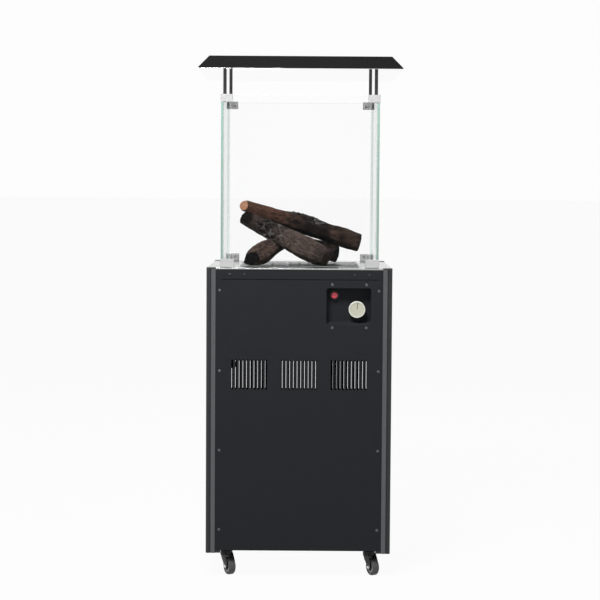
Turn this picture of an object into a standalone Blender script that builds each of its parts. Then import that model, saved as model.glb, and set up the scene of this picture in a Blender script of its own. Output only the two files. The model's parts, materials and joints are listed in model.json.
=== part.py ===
"""Gas patio heater: a square cabinet on casters, a glass flame chamber with ceramic logs, and a hood.

Metres, +Z up, front towards -Y. The origin is on the floor, under the middle of the cabinet.
"""

import math

import bmesh
import bpy
from mathutils import Matrix, Vector

# Shared clearances and detail
GAP = 0.0003
MERGE = 0.00001
OVERRUN = 0.02
ROUND_STEPS = 16
WHEEL_STEPS = 18
KNOB_STEPS = 20
CORNER_STEPS = 3

# Cabinet
CABINET_WIDTH = 0.535
RIDE_HEIGHT = 0.070
SHEET = 0.0012
PANEL_SETBACK = 0.0020
PANEL_FOOT = 0.0075
PANEL_HEIGHT = 0.7865
PANEL_RETURN = 0.012
PANEL_SEAM = 0.0015
DOOR_CLEARANCE = 0.0010

# Corner posts
POST_FACE = 0.0265
POST_BEAD = 0.0105
POST_GROOVE = 0.0037
POST_GROOVE_DEPTH = 0.0030
POST_STRIP_SETBACK = 0.0010
POST_RADIUS = 0.008
POST_WALL = 0.0014
POST_FLANGE = 0.016
CAP_RISE = 0.0030
CAP_SEAT = 0.0005

# Top rails and deck
RAIL_HEIGHT = 0.0305
RAIL_RETURN = 0.020
DECK_SHEET = 0.0012
DECK_LIP = 0.0040
CATCH_WIDTH = 0.040
CATCH_HEIGHT = 0.018
CATCH_DEPTH = 0.014
CATCH_INSET = 0.060

# Ventilation slots
SLOT_GROUPS = 3
SLOT_HEIGHT = 0.0875
SLOT_TOP_DISTANCE = 0.230
SLOT_WIDTH = 0.0057
SLOT_PITCH = 0.01085
SLOT_GROUP_GAP = 0.04005
SLOT_SIDE_DISTANCE = 0.045625
REAR_SLOT_DROP = 0.055
REAR_SLOT_WIDTH = 0.0012
REAR_SLOT_PITCH = 0.0118
REAR_SLOT_GROUP_GAP = 0.0534
REAR_SLOT_SIDE_DISTANCE = 0.0255

# Base plate
BASE_SHEET = 0.0015
BASE_LIP = 0.025
BASE_VENT_WIDTH = 0.014
BASE_VENT_LENGTH = 0.120
BASE_VENT_PITCH = 0.034
BASE_VENT_COUNT = 5
BASE_VENT_RADIUS = 0.006

# Casters
CASTER_INSET = 0.0585
CASTER_SWIVEL = math.radians(27)
CASTER_TRAIL = 0.022
WHEEL_RADIUS = 0.025
WHEEL_WIDTH = 0.020
WHEEL_CROWN = 0.0040
WHEEL_DISH = 0.0030
WHEEL_RIM_RADIUS = 0.0175
WHEEL_RIM_WIDTH = 0.0025
WHEEL_HUB_RADIUS = 0.0075
AXLE_RADIUS = 0.003
AXLE_HEAD_RADIUS = 0.0055
AXLE_HEAD = 0.0030
FORK_PLATE = 0.0020
FORK_SIDE_CLEARANCE = 0.0015
FORK_RADIUS = 0.018
FORK_HEAD = 0.0145
FORK_HEAD_EDGE = 0.0015
FORK_TOP = 0.069
FORK_BOSS_RADIUS = 0.0085
FORK_LEG_FRONT = 0.0170
FORK_LEG_BACK = 0.0140
FORK_SHOULDER = 0.0150
FORK_BACK_CORNER = 0.0070
KINGPIN_RADIUS = 0.004
KINGPIN_HEAD_RADIUS = 0.0075
KINGPIN_HEAD = 0.0020
KINGPIN_BOSS_RADIUS = 0.016

# Rear door, its hinges and pull
HINGE_HEIGHT = 0.060
HINGE_BARREL_RADIUS = 0.004
HINGE_PIN_RADIUS = 0.0018
HINGE_LEAF = 0.0015
HINGE_LEAF_WIDTH = 0.0125
HINGE_STANDOFF = 0.0005
HINGE_END_DISTANCE = 0.110
DOOR_LEAF_WIDTH = 0.022
PULL_RADIUS = 0.013
PULL_NECK_RADIUS = 0.006
PULL_LENGTH = 0.022
PULL_HEAD = 0.010
PULL_INSET = 0.028
PULL_HEIGHT_SHARE = 0.62

# Control recess
RECESS_WIDTH = 0.129
RECESS_HEIGHT = 0.1066
RECESS_DEPTH = 0.030
RECESS_RADIUS = 0.007
RECESS_DRAFT = 0.0020
RECESS_BOTTOM_SLOPE = 0.0080
RECESS_FLANGE = 0.014
RECESS_SIDE_DISTANCE = 0.0985
RECESS_TOP_DISTANCE = 0.076
RECESS_SHEET = 0.0010

# Knob, spindle and gas valve
KNOB_OFFSET_X = 0.0240
KNOB_OFFSET_Z = -0.0090
KNOB_RADIUS = 0.0250
KNOB_FACE_RADIUS = 0.0225
KNOB_DEPTH = 0.0210
KNOB_DISH = 0.0012
KNOB_EDGE = 0.0015
KNOB_SKIRT = 0.0040
KNOB_STANDOFF = 0.0060
KNOB_TRAVEL = 0.0040
KNOB_BORE_DEPTH = 0.0140
KNOB_WAIST = 0.0012
KNOB_POINTER_WIDTH = 0.0016
KNOB_POINTER_DEPTH = 0.0010
KNOB_POINTER_TILT = math.radians(5)
SPINDLE_RADIUS = 0.003
SPINDLE_FLAT = 0.0020
SPINDLE_SEAT = 0.010
SPINDLE_HOLE_RADIUS = 0.006
VALVE_BONNET_RADIUS = 0.011
VALVE_BONNET = 0.012
VALVE_WIDTH = 0.036
VALVE_DEPTH = 0.032
VALVE_HEIGHT = 0.040
VALVE_EDGE = 0.0020
PORT_RADIUS = 0.0075
PORT_LENGTH = 0.012
THREAD_RADIUS = 0.0055
THREAD_LENGTH = 0.014

# Igniter
BUTTON_OFFSET_X = -0.0415
BUTTON_OFFSET_Z = 0.0315
BUTTON_RADIUS = 0.0095
BUTTON_EDGE = 0.0015
BUTTON_PROUD = 0.0100
BUTTON_TRAVEL = 0.0060
BUTTON_SEAT = 0.0120
PIEZO_WALL = 0.0015
PIEZO_BEZEL_RADIUS = 0.0135
PIEZO_BEZEL = 0.0020
PIEZO_LENGTH = 0.048
PIEZO_TAIL = 0.010
PIEZO_TAIL_RADIUS = 0.004

# Burner tray, cover, burner and pilot
TRAY_INSET = 0.0535
TRAY_FLANGE = 0.009
TRAY_LEDGE = 0.010
TRAY_DEPTH = 0.050
TRAY_SHEET = 0.0010
COVER_SHEET = 0.0015
COVER_CLEARANCE = 0.0005
FLAME_SLOT_WIDTH = 0.008
FLAME_SLOT_LENGTH = 0.034
FLAME_SLOT_PITCH = 0.027
FLAME_SLOT_COUNT = 7
BURNER_RADIUS = 0.011
BURNER_HALF_SPAN = 0.092
BURNER_HALF_DEPTH = 0.062
BURNER_BEND = 0.030
BURNER_UNDER_COVER = 0.009
VENTURI_RADIUS = 0.010
VENTURI_DROP = 0.012
PILOT_OFFSET = 0.052
PILOT_BURNER_DISTANCE = 0.038
PILOT_WIDTH = 0.038
PILOT_DEPTH = 0.010
PILOT_SHEET = 0.0015
PILOT_PROUD = 0.0075
PILOT_CLEARANCE = 0.0015
PILOT_FOOT = 0.0095
PILOT_TIP_RADIUS = 0.0025
PILOT_TIP_SPREAD = 0.010
PILOT_TAIL_RADIUS = 0.0035
PILOT_TAIL_DROP = 0.008

# Gas pipe and leads
PIPE_RADIUS = 0.004
PIPE_BEND = 0.011
LEAD_RADIUS = 0.0012
LEAD_BEND = 0.012
LEAD_DROP = 0.010

# Glass
GLASS_INSET = 0.0390
GLASS_THICKNESS = 0.006
GLASS_HEIGHT = 0.492
GLASS_JOINT = 0.0010
GLASS_ARRIS = 0.0006

# Glass clamps
CLAMP_SKIN = 0.0012
CLAMP_LEG = 0.0080
CLAMP_FLOOR = 0.0030
CLAMP_EDGE = 0.0010
BOTTOM_CLAMP_LENGTH = 0.040
BOTTOM_CLAMP_HEIGHT = 0.024
TOP_CLAMP_LENGTH = 0.035
TOP_CLAMP_HEIGHT = 0.023

# Hood and its rods
ROD_RADIUS = 0.005
ROD_CORNER_DISTANCE = 0.012
HOOD_RISE = 0.0720
HOOD_OVERHANG = 0.0635
HOOD_TOP_INSET = 0.031
HOOD_HEIGHT = 0.035
HOOD_SHEET = 0.0015
REFLECTOR_SHEET = 0.0008

# Logs
LOG_INSET = 0.0285
LOG_RADIUS_SHARE = 0.125
LOG_RINGS = 9
LOG_SIDES = 12
LOG_LOBE_SHARE = 0.07
LOG_KNOT_SHARE = 0.05
LOG_SEAT_GAP = 0.0006

# Places and sizes worked out from the sizes above
HALF = CABINET_WIDTH / 2
PANEL_FACE = HALF - PANEL_SETBACK
PANEL_BACK = PANEL_FACE - SHEET
PANEL_BOTTOM = RIDE_HEIGHT + PANEL_FOOT
PANEL_TOP = PANEL_BOTTOM + PANEL_HEIGHT
OPENING_HALF = HALF - POST_FACE
PANEL_HALF = OPENING_HALF - GAP
SLOT_FOOT = PANEL_TOP - SLOT_TOP_DISTANCE - SLOT_HEIGHT
RETURN_HALF = OPENING_HALF - POST_FLANGE - GAP
DOOR_HALF = OPENING_HALF - DOOR_CLEARANCE
DOOR_RETURN_HALF = RETURN_HALF - PANEL_RETURN
FLANGE_DEPTH = PANEL_SETBACK + SHEET + GAP
RAIL_BOTTOM = PANEL_TOP + PANEL_SEAM
RAIL_TOP = RAIL_BOTTOM + RAIL_HEIGHT
POST_TOP = RAIL_TOP
DECK_TOP = RAIL_TOP + GAP + DECK_SHEET
DECK_HALF = PANEL_FACE + GAP + DECK_SHEET
BASE_BOTTOM = PANEL_BOTTOM + DOOR_CLEARANCE + SHEET + GAP
BASE_HALF = HALF - FLANGE_DEPTH - POST_WALL - GAP
CASTER_PLACE = HALF - CASTER_INSET
RECESS_CENTRE_X = OPENING_HALF - RECESS_SIDE_DISTANCE
RECESS_CENTRE_Z = PANEL_TOP - RECESS_TOP_DISTANCE
RECESS_FRONT = -PANEL_BACK + GAP
RECESS_FLOOR = RECESS_FRONT + RECESS_DEPTH
RECESS_BACK = RECESS_FLOOR + RECESS_SHEET
KNOB_X = RECESS_CENTRE_X + KNOB_OFFSET_X
KNOB_Z = RECESS_CENTRE_Z + KNOB_OFFSET_Z
BUTTON_X = RECESS_CENTRE_X + BUTTON_OFFSET_X
BUTTON_Z = RECESS_CENTRE_Z + BUTTON_OFFSET_Z
GLASS_HALF = HALF - GLASS_INSET
TRAY_FLANGE_HALF = GLASS_HALF - TRAY_INSET
TRAY_MOUTH_HALF = TRAY_FLANGE_HALF - TRAY_FLANGE
TRAY_LEDGE_HALF = TRAY_MOUTH_HALF - TRAY_LEDGE
TRAY_TOP = DECK_TOP + GAP + TRAY_SHEET
TRAY_FLOOR = TRAY_TOP - TRAY_DEPTH
COVER_TOP = TRAY_TOP
COVER_BOTTOM = COVER_TOP - COVER_SHEET
PILOT_X = -PILOT_OFFSET
PILOT_Y = -BURNER_HALF_DEPTH - PILOT_BURNER_DISTANCE
CLAMP_OUTER = GLASS_HALF + GAP + CLAMP_SKIN
SLOT_DEPTH = GLASS_THICKNESS + GAP + GAP
BOTTOM_CLAMP_BASE = DECK_TOP + GAP
GLASS_BOTTOM = BOTTOM_CLAMP_BASE + CLAMP_FLOOR + GAP
GLASS_TOP = GLASS_BOTTOM + GLASS_HEIGHT
TOP_CLAMP_TOP = GLASS_TOP + GAP + CLAMP_FLOOR
TOP_CLAMP_BASE = TOP_CLAMP_TOP - TOP_CLAMP_HEIGHT
ROD_PLACE = CLAMP_OUTER - ROD_CORNER_DISTANCE
HOOD_HALF = GLASS_HALF + HOOD_OVERHANG
HOOD_TOP_HALF = HOOD_HALF - HOOD_TOP_INSET
HOOD_BOTTOM = TOP_CLAMP_TOP + HOOD_RISE
HOOD_TOP = HOOD_BOTTOM + HOOD_HEIGHT
HINGE_X = OPENING_HALF - DOOR_CLEARANCE / 2
HINGE_Y = HALF - POST_STRIP_SETBACK + HINGE_STANDOFF + HINGE_BARREL_RADIUS
LOG_SPAN = GLASS_HALF - LOG_INSET
LOG_FLOOR = COVER_TOP + GAP

# Each log from end to end: places in shares of the span, from the middle of the cover's top
LOG_SET = {
    "log_lower_left": {
        "start_shares": (-0.705, -0.65, 0.095),
        "end_shares": (-0.185, 0.275, 0.385),
        "radius_shares": (0.86, 1.12, 1.3, 1.25, 1.1, 1, 0.95, 0.9, 0.85),
        "rests_on": (),
    },
    "log_rear": {
        "start_shares": (-0.41, 0.5, 0.385),
        "end_shares": (0.57, 0.24, 0.145),
        "radius_shares": (0.9, 1, 1.03, 1.03, 1.03, 1.03, 1.06, 1.1, 1.06),
        "rests_on": ("log_lower_left",),
    },
    "log_front": {
        "start_shares": (-0.84, 0.25, 0.69),
        "end_shares": (0.39, -0.64, 0.1),
        "radius_shares": (0.87, 0.97, 1.07, 1.15, 1.2, 1.3, 1.4, 1.32, 0.98),
        "rests_on": ("log_lower_left",),
    },
    "log_top": {
        "start_shares": (-0.9, 0.18, 0.888),
        "end_shares": (0.911, 0.27, 0.307),
        "radius_shares": (0.7, 0.75, 0.8, 0.9, 1.04, 1.08, 1.08, 1.14, 1.08),
        "rests_on": ("log_front", "log_rear"),
    },
}

LOOKS = {
    "black_coat": ((0.030, 0.032, 0.036), 0.45, 0.2),
    "black_steel": ((0.022, 0.022, 0.022), 0.35, 0.3),
    "dark_enamel": ((0.060, 0.062, 0.064), 0.55, 0.1),
    "stainless": ((0.78, 0.78, 0.77), 0.18, 1.0),
    "clamp_alloy": ((0.62, 0.64, 0.65), 0.35, 0.9),
    "brass": ((0.72, 0.54, 0.24), 0.35, 1.0),
    "copper": ((0.70, 0.38, 0.24), 0.35, 1.0),
    "glass": ((0.80, 0.93, 0.88), 0.03, 0.0),
    "log": ((0.085, 0.050, 0.038), 0.9, 0.0),
    "cream_plastic": ((0.74, 0.71, 0.56), 0.35, 0.0),
    "red_plastic": ((0.66, 0.035, 0.055), 0.25, 0.0),
    "black_plastic": ((0.018, 0.018, 0.020), 0.4, 0.0),
    "tyre": ((0.040, 0.040, 0.042), 0.6, 0.0),
}


def clear_scene():
    for thing in list(bpy.data.objects):
        bpy.data.objects.remove(thing, do_unlink=True)


def new_collection(name):
    made = bpy.data.collections.new(name)
    bpy.context.scene.collection.children.link(made)
    return made


def give_look(thing, look):
    colour, roughness, metallic = LOOKS[look]
    material = bpy.data.materials.new(thing.name + "_finish")
    material.use_nodes = True
    shader = material.node_tree.nodes["Principled BSDF"]
    shader.inputs["Base Color"].default_value = (*colour, 1)
    shader.inputs["Roughness"].default_value = roughness
    shader.inputs["Metallic"].default_value = metallic
    thing.data.materials.clear()
    thing.data.materials.append(material)


def place_part(name, mesh, look, place=(0, 0, 0), turn=(0, 0, 0), parent=None):
    part = bpy.data.objects.new(name, mesh)
    PARTS.objects.link(part)
    part.location = place
    part.rotation_euler = turn
    part.parent = parent
    if look:
        give_look(part, look)
    return part


def place_tool(name, mesh, place=(0, 0, 0), turn=(0, 0, 0)):
    tool = bpy.data.objects.new(name, mesh)
    TOOLS.objects.link(tool)
    tool.location = place
    tool.rotation_euler = turn
    tool.hide_render = True
    tool.display_type = "WIRE"
    return tool


def to_mesh(shape, name, closed=True):
    if closed:
        bmesh.ops.recalc_face_normals(shape, faces=shape.faces)
    mesh = bpy.data.meshes.new(name)
    shape.to_mesh(mesh)
    shape.free()
    return mesh


def add_box(shape, low, high):
    made = bmesh.ops.create_cube(shape, size=1)
    size = [b - a for a, b in zip(low, high)]
    middle = [(a + b) / 2 for a, b in zip(low, high)]
    bmesh.ops.scale(shape, vec=size, verts=made["verts"])
    bmesh.ops.translate(shape, vec=middle, verts=made["verts"])


def add_cylinder(shape, radius, start, end, steps=ROUND_STEPS):
    start, end = Vector(start), Vector(end)
    along = end - start
    turn = along.to_track_quat("Z", "Y").to_matrix().to_4x4()
    bmesh.ops.create_cone(
        shape,
        cap_ends=True,
        segments=steps,
        radius1=radius,
        radius2=radius,
        depth=along.length,
        matrix=Matrix.Translation((start + end) / 2) @ turn,
    )


def add_prism(shape, outline, depth, frame=None):
    """Extrudes a closed outline of (x, y) points along +Z, then moves it by frame."""
    corners = [shape.verts.new((x, y, 0)) for x, y in outline]
    face = shape.faces.new(corners)
    made = bmesh.ops.extrude_face_region(shape, geom=[face])
    raised = [item for item in made["geom"] if isinstance(item, bmesh.types.BMVert)]
    bmesh.ops.translate(shape, vec=(0, 0, depth), verts=raised)
    if frame:
        bmesh.ops.transform(shape, matrix=frame, verts=corners + raised)


def box_mesh(name, low, high):
    shape = bmesh.new()
    add_box(shape, low, high)
    return to_mesh(shape, name)


def cylinder_mesh(name, radius, start, end, steps=ROUND_STEPS):
    shape = bmesh.new()
    add_cylinder(shape, radius, start, end, steps)
    return to_mesh(shape, name)


def prism_mesh(name, outline, depth, frame=None):
    shape = bmesh.new()
    add_prism(shape, outline, depth, frame)
    return to_mesh(shape, name)


def profile_mesh(name, profile, closed=False):
    """A chain of (radius, height) points for a Screw modifier, down the outer side."""
    mesh = bpy.data.meshes.new(name)
    points = [(radius, 0, height) for radius, height in profile]
    edges = [(i, i + 1) for i in range(len(points) - 1)]
    if closed:
        edges.append((len(points) - 1, 0))
    mesh.from_pydata(points, edges, [])
    return mesh


def turn_profile(thing, steps=ROUND_STEPS):
    screw = thing.modifiers.new("turn", "SCREW")
    screw.axis = "Z"
    screw.steps = steps
    screw.render_steps = steps
    screw.use_merge_vertices = True
    screw.merge_threshold = MERGE
    screw.use_smooth_shade = True
    return thing


def add_thickness(thing, thickness):
    solid = thing.modifiers.new("thickness", "SOLIDIFY")
    solid.solidify_mode = "NON_MANIFOLD"
    solid.nonmanifold_thickness_mode = "CONSTRAINTS"
    solid.nonmanifold_merge_threshold = MERGE
    solid.thickness = thickness
    solid.offset = -1
    return thing


def round_edges(thing, width, segments=1, angle=math.radians(40)):
    bevel = thing.modifiers.new("edges", "BEVEL")
    bevel.width = width
    bevel.segments = segments
    bevel.limit_method = "ANGLE"
    bevel.angle_limit = angle
    return thing


def combine(thing, tool, operation="DIFFERENCE"):
    boolean = thing.modifiers.new(tool.name, "BOOLEAN")
    boolean.operation = operation
    boolean.object = tool
    return thing


def settled_mesh(thing, name):
    """The mesh of a thing with its modifiers worked out, for a shape that is used several times."""
    graph = bpy.context.evaluated_depsgraph_get()
    mesh = bpy.data.meshes.new_from_object(thing.evaluated_get(graph))
    mesh.name = name
    return mesh


def shade_round(mesh, angle=math.radians(35)):
    mesh.shade_smooth()
    mesh.set_sharp_from_angle(angle=angle)
    return mesh


def arc(centre, radius, start, end, steps):
    """Points on an arc from one angle to another, both ends included."""
    points = []
    for i in range(steps + 1):
        angle = start + (end - start) * i / steps
        points.append((centre[0] + radius * math.cos(angle), centre[1] + radius * math.sin(angle)))
    return points


def rounded_rectangle(low, high, radius, steps=CORNER_STEPS):
    """Counter-clockwise outline of a rectangle with round corners."""
    quarter = math.pi / 2
    centres = (
        (high[0] - radius, low[1] + radius, -quarter),
        (high[0] - radius, high[1] - radius, 0),
        (low[0] + radius, high[1] - radius, quarter),
        (low[0] + radius, low[1] + radius, math.pi),
    )
    outline = []
    for x, y, start in centres:
        outline += arc((x, y), radius, start, start + quarter, steps)
    return outline


def square_outline(half):
    return [(-half, -half), (half, -half), (half, half), (-half, half)]


def square_loop(half, height):
    return [(x, y, height) for x, y in square_outline(half)]


def loop_faces(shape, loops):
    """Joins closed loops of points, each with as many points as the last, by bands of faces."""
    rows = [[shape.verts.new(point) for point in loop] for loop in loops]
    for row, after in zip(rows, rows[1:]):
        for i in range(len(row)):
            j = (i + 1) % len(row)
            shape.faces.new((row[i], row[j], after[j], after[i]))
    return rows


def pan_mesh(name, loops):
    """A pressed pan, from loops that run from its inner floor over its rim to its outer floor."""
    shape = bmesh.new()
    rows = loop_faces(shape, loops)
    shape.faces.new(rows[0])
    shape.faces.new(rows[-1])
    return to_mesh(shape, name)


def quarter_turns(names):
    """Pairs each name with its turn about the vertical, in order round the cabinet."""
    return [(name, i * math.pi / 2) for i, name in enumerate(names)]


# Cabinet frame


def post_section():
    """Half of the post's outer path, from its corner round to the flange tip behind the panel."""
    half = arc((POST_RADIUS, POST_RADIUS), POST_RADIUS, -math.pi * 0.75, -math.pi / 2, CORNER_STEPS)
    groove_end = POST_BEAD + POST_GROOVE
    half += [
        (POST_BEAD, 0),
        (POST_BEAD, POST_GROOVE_DEPTH),
        (groove_end, POST_GROOVE_DEPTH),
        (groove_end, POST_STRIP_SETBACK),
        (POST_FACE, POST_STRIP_SETBACK),
        (POST_FACE, FLANGE_DEPTH),
        (POST_FACE + POST_FLANGE, FLANGE_DEPTH),
    ]
    return half


def make_posts():
    half = post_section()
    path = [(y, x) for x, y in reversed(half)] + half[1:]
    shape = bmesh.new()
    low = [shape.verts.new((x - HALF, y - HALF, RIDE_HEIGHT)) for x, y in path]
    high = [shape.verts.new((x - HALF, y - HALF, POST_TOP)) for x, y in path]
    for i in range(len(path) - 1):
        shape.faces.new((low[i], low[i + 1], high[i + 1], high[i]))
    section = place_tool("post_section", to_mesh(shape, "post_section", closed=False))
    add_thickness(section, POST_WALL)
    inset = GAP - HALF
    far = POST_FACE - GAP - HALF
    outline = [(inset + POST_RADIUS, inset), (far, inset), (far, far), (inset, far)]
    centre = (inset + POST_RADIUS, inset + POST_RADIUS)
    outline += arc(centre, POST_RADIUS, math.pi, math.pi * 1.5, CORNER_STEPS)[:-1]
    lift = Matrix.Translation((0, 0, POST_TOP - CAP_SEAT))
    cap = place_tool("post_cap", prism_mesh("post_cap", outline, CAP_RISE + CAP_SEAT, lift))
    combine(section, cap, "UNION")
    mesh = shade_round(settled_mesh(section, "post"))
    names = ("post_front_left", "post_front_right", "post_rear_right", "post_rear_left")
    for name, turn in quarter_turns(names):
        place_part(name, mesh.copy(), "black_coat", turn=(0, 0, turn))


def folded_sheet(name, half_width, return_half, low, high, depth):
    """A front sheet whose top and bottom edges fold back by depth, shorter than the sheet."""
    shape = bmesh.new()
    face = -PANEL_FACE
    row = (-half_width, -return_half, return_half, half_width)
    bottom = [shape.verts.new((x, face, low)) for x in row]
    top = [shape.verts.new((x, face, high)) for x in row]
    shape.faces.new(bottom + top[::-1])
    for edge in (bottom[1:3], top[2:0:-1]):
        back = [shape.verts.new((v.co.x, face + depth, v.co.z)) for v in edge]
        shape.faces.new((edge[1], edge[0], back[0], back[1]))
    thing = place_tool(name, to_mesh(shape, name, closed=False))
    return add_thickness(thing, SHEET)


def slot_groups(half, margin, gap, width, pitch):
    """How many slots a group holds, and the groups' pitch, where they fill a sheet up to its margins."""
    group = ((half - margin) * 2 - gap * (SLOT_GROUPS - 1)) / SLOT_GROUPS
    return round((group - width) / pitch) + 1, group + gap


def add_slots(thing, name, foot, width, pitch, groups, steps):
    """Cuts groups of upright slots through a front sheet, with steps in each corner."""
    count, group_pitch = groups
    shape = bmesh.new()
    radius = width / 2
    outline = rounded_rectangle((-radius, 0), (radius, SLOT_HEIGHT), radius, steps)
    for group in range(SLOT_GROUPS):
        for slot in range(count):
            x = (group - (SLOT_GROUPS - 1) / 2) * group_pitch + (slot - (count - 1) / 2) * pitch
            frame = Matrix.Translation((x, OVERRUN - PANEL_FACE, foot))
            frame @= Matrix.Rotation(math.pi / 2, 4, "X")
            add_prism(shape, outline, OVERRUN + OVERRUN, frame)
    bmesh.ops.remove_doubles(shape, verts=shape.verts, dist=MERGE)
    combine(thing, place_tool(name, to_mesh(shape, name)))


def recess_outline(grow=0.0, raise_foot=0.0):
    """Mouth of the control recess as (x, z) points, moved inwards by grow and up at its foot."""
    reach_x = RECESS_WIDTH / 2 - grow
    reach_z = RECESS_HEIGHT / 2 - grow
    low = (RECESS_CENTRE_X - reach_x, RECESS_CENTRE_Z - reach_z + raise_foot)
    return rounded_rectangle(low, (RECESS_CENTRE_X + reach_x, RECESS_CENTRE_Z + reach_z), RECESS_RADIUS)


def make_panels():
    front = folded_sheet("front_sheet", PANEL_HALF, RETURN_HALF, PANEL_BOTTOM, PANEL_TOP, PANEL_RETURN)
    plain = settled_mesh(front, "side_panel")
    groups = slot_groups(PANEL_HALF, SLOT_SIDE_DISTANCE, SLOT_GROUP_GAP, SLOT_WIDTH, SLOT_PITCH)
    add_slots(front, "front_slots", SLOT_FOOT, SLOT_WIDTH, SLOT_PITCH, groups, 2)
    frame = Matrix.Translation((0, OVERRUN - PANEL_FACE, 0)) @ Matrix.Rotation(math.pi / 2, 4, "X")
    mouth = prism_mesh("recess_mouth", recess_outline(), OVERRUN + OVERRUN, frame)
    combine(front, place_tool("recess_mouth", mouth))
    place_part("front_panel", settled_mesh(front, "front_panel"), "black_coat")
    place_part("right_panel", plain, "black_coat", turn=(0, 0, math.pi / 2))
    place_part("left_panel", plain.copy(), "black_coat", turn=(0, 0, -math.pi / 2))


def make_rails():
    rail = folded_sheet("rail_sheet", PANEL_HALF, RETURN_HALF, RAIL_BOTTOM, RAIL_TOP, RAIL_RETURN)
    mesh = settled_mesh(rail, "rail")
    for name, turn in quarter_turns(("rail_front", "rail_right", "rail_rear", "rail_left")):
        part = place_part(name, mesh.copy(), "black_coat", turn=(0, 0, turn))
        if name == "rail_rear":
            near = PANEL_RETURN + GAP
            middle = HALF - POST_FACE - CATCH_INSET
            low = (middle - CATCH_WIDTH / 2, near - PANEL_FACE, RAIL_BOTTOM - CATCH_HEIGHT)
            high = (middle + CATCH_WIDTH / 2, low[1] + CATCH_DEPTH, RAIL_BOTTOM + SHEET / 2)
            catch = box_mesh("door_catch", low, high)
            combine(part, place_tool("door_catch", catch, turn=(0, 0, turn)), "UNION")


def kingpin_profile():
    boss_low = FORK_TOP + GAP
    pin_low = FORK_TOP - FORK_HEAD - GAP
    return (
        (0, BASE_BOTTOM + BASE_SHEET / 2),
        (KINGPIN_BOSS_RADIUS, BASE_BOTTOM + BASE_SHEET / 2),
        (KINGPIN_BOSS_RADIUS, boss_low),
        (KINGPIN_RADIUS, boss_low),
        (KINGPIN_RADIUS, pin_low),
        (KINGPIN_HEAD_RADIUS, pin_low),
        (KINGPIN_HEAD_RADIUS, pin_low - KINGPIN_HEAD),
        (0, pin_low - KINGPIN_HEAD),
    )


def make_base_plate():
    """A pan whose lips stand up inside the posts, with the kingpins of the casters below it."""
    shape = bmesh.new()
    heights = (BASE_BOTTOM, BASE_BOTTOM + BASE_LIP)
    rows = loop_faces(shape, [square_loop(BASE_HALF, height) for height in heights])
    shape.faces.new(rows[0][::-1])
    part = place_part("base_plate", to_mesh(shape, "base_plate", closed=False), "black_coat")
    add_thickness(part, BASE_SHEET)
    vents = bmesh.new()
    for i in range(BASE_VENT_COUNT):
        x = (i - (BASE_VENT_COUNT - 1) / 2) * BASE_VENT_PITCH
        low = (x - BASE_VENT_WIDTH / 2, -BASE_VENT_LENGTH / 2)
        high = (x + BASE_VENT_WIDTH / 2, BASE_VENT_LENGTH / 2)
        outline = rounded_rectangle(low, high, BASE_VENT_RADIUS, 1)
        add_prism(vents, outline, OVERRUN, Matrix.Translation((0, 0, BASE_BOTTOM - OVERRUN / 2)))
    combine(part, place_tool("base_vents", to_mesh(vents, "base_vents")))
    for i, (x, y) in enumerate(caster_places()):
        pin = place_tool(f"kingpin_{i}", profile_mesh("kingpin", kingpin_profile()), place=(x, y, 0))
        combine(part, turn_profile(pin, 10), "UNION")


# Casters


def caster_places():
    c = CASTER_PLACE
    return ((-c, -c), (c, -c), (c, c), (-c, c))


def wheel_profile():
    """Closed (radius, height) ring of the wheel, down its outer side and back up its bore."""
    half = WHEEL_WIDTH / 2
    bore = AXLE_RADIUS + GAP
    crown = arc((WHEEL_RADIUS - WHEEL_CROWN, half - WHEEL_CROWN), WHEEL_CROWN, math.pi / 2, 0, 1)
    upper = [
        (bore, half),
        (WHEEL_HUB_RADIUS, half),
        (WHEEL_HUB_RADIUS, half - WHEEL_DISH),
        (WHEEL_RIM_RADIUS - WHEEL_RIM_WIDTH, half - WHEEL_DISH),
        (WHEEL_RIM_RADIUS - WHEEL_RIM_WIDTH, half),
    ] + crown
    return upper + [(radius, -height) for radius, height in reversed(upper)]


def fork_leg_outline():
    """Side view of a fork leg as (y, z) points, from its boss round the axle up to the head."""
    axle = (-CASTER_TRAIL, WHEEL_RADIUS)
    outline = [
        (FORK_LEG_BACK, FORK_TOP - FORK_HEAD / 2),
        (-FORK_LEG_FRONT, FORK_TOP - FORK_HEAD / 2),
        (-CASTER_TRAIL - FORK_BOSS_RADIUS, WHEEL_RADIUS + FORK_SHOULDER),
    ]
    outline += arc(axle, FORK_BOSS_RADIUS, math.pi, math.pi * 2, 5)
    outline.append((FORK_BACK_CORNER, FORK_TOP - FORK_HEAD - FORK_BACK_CORNER))
    return outline


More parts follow.
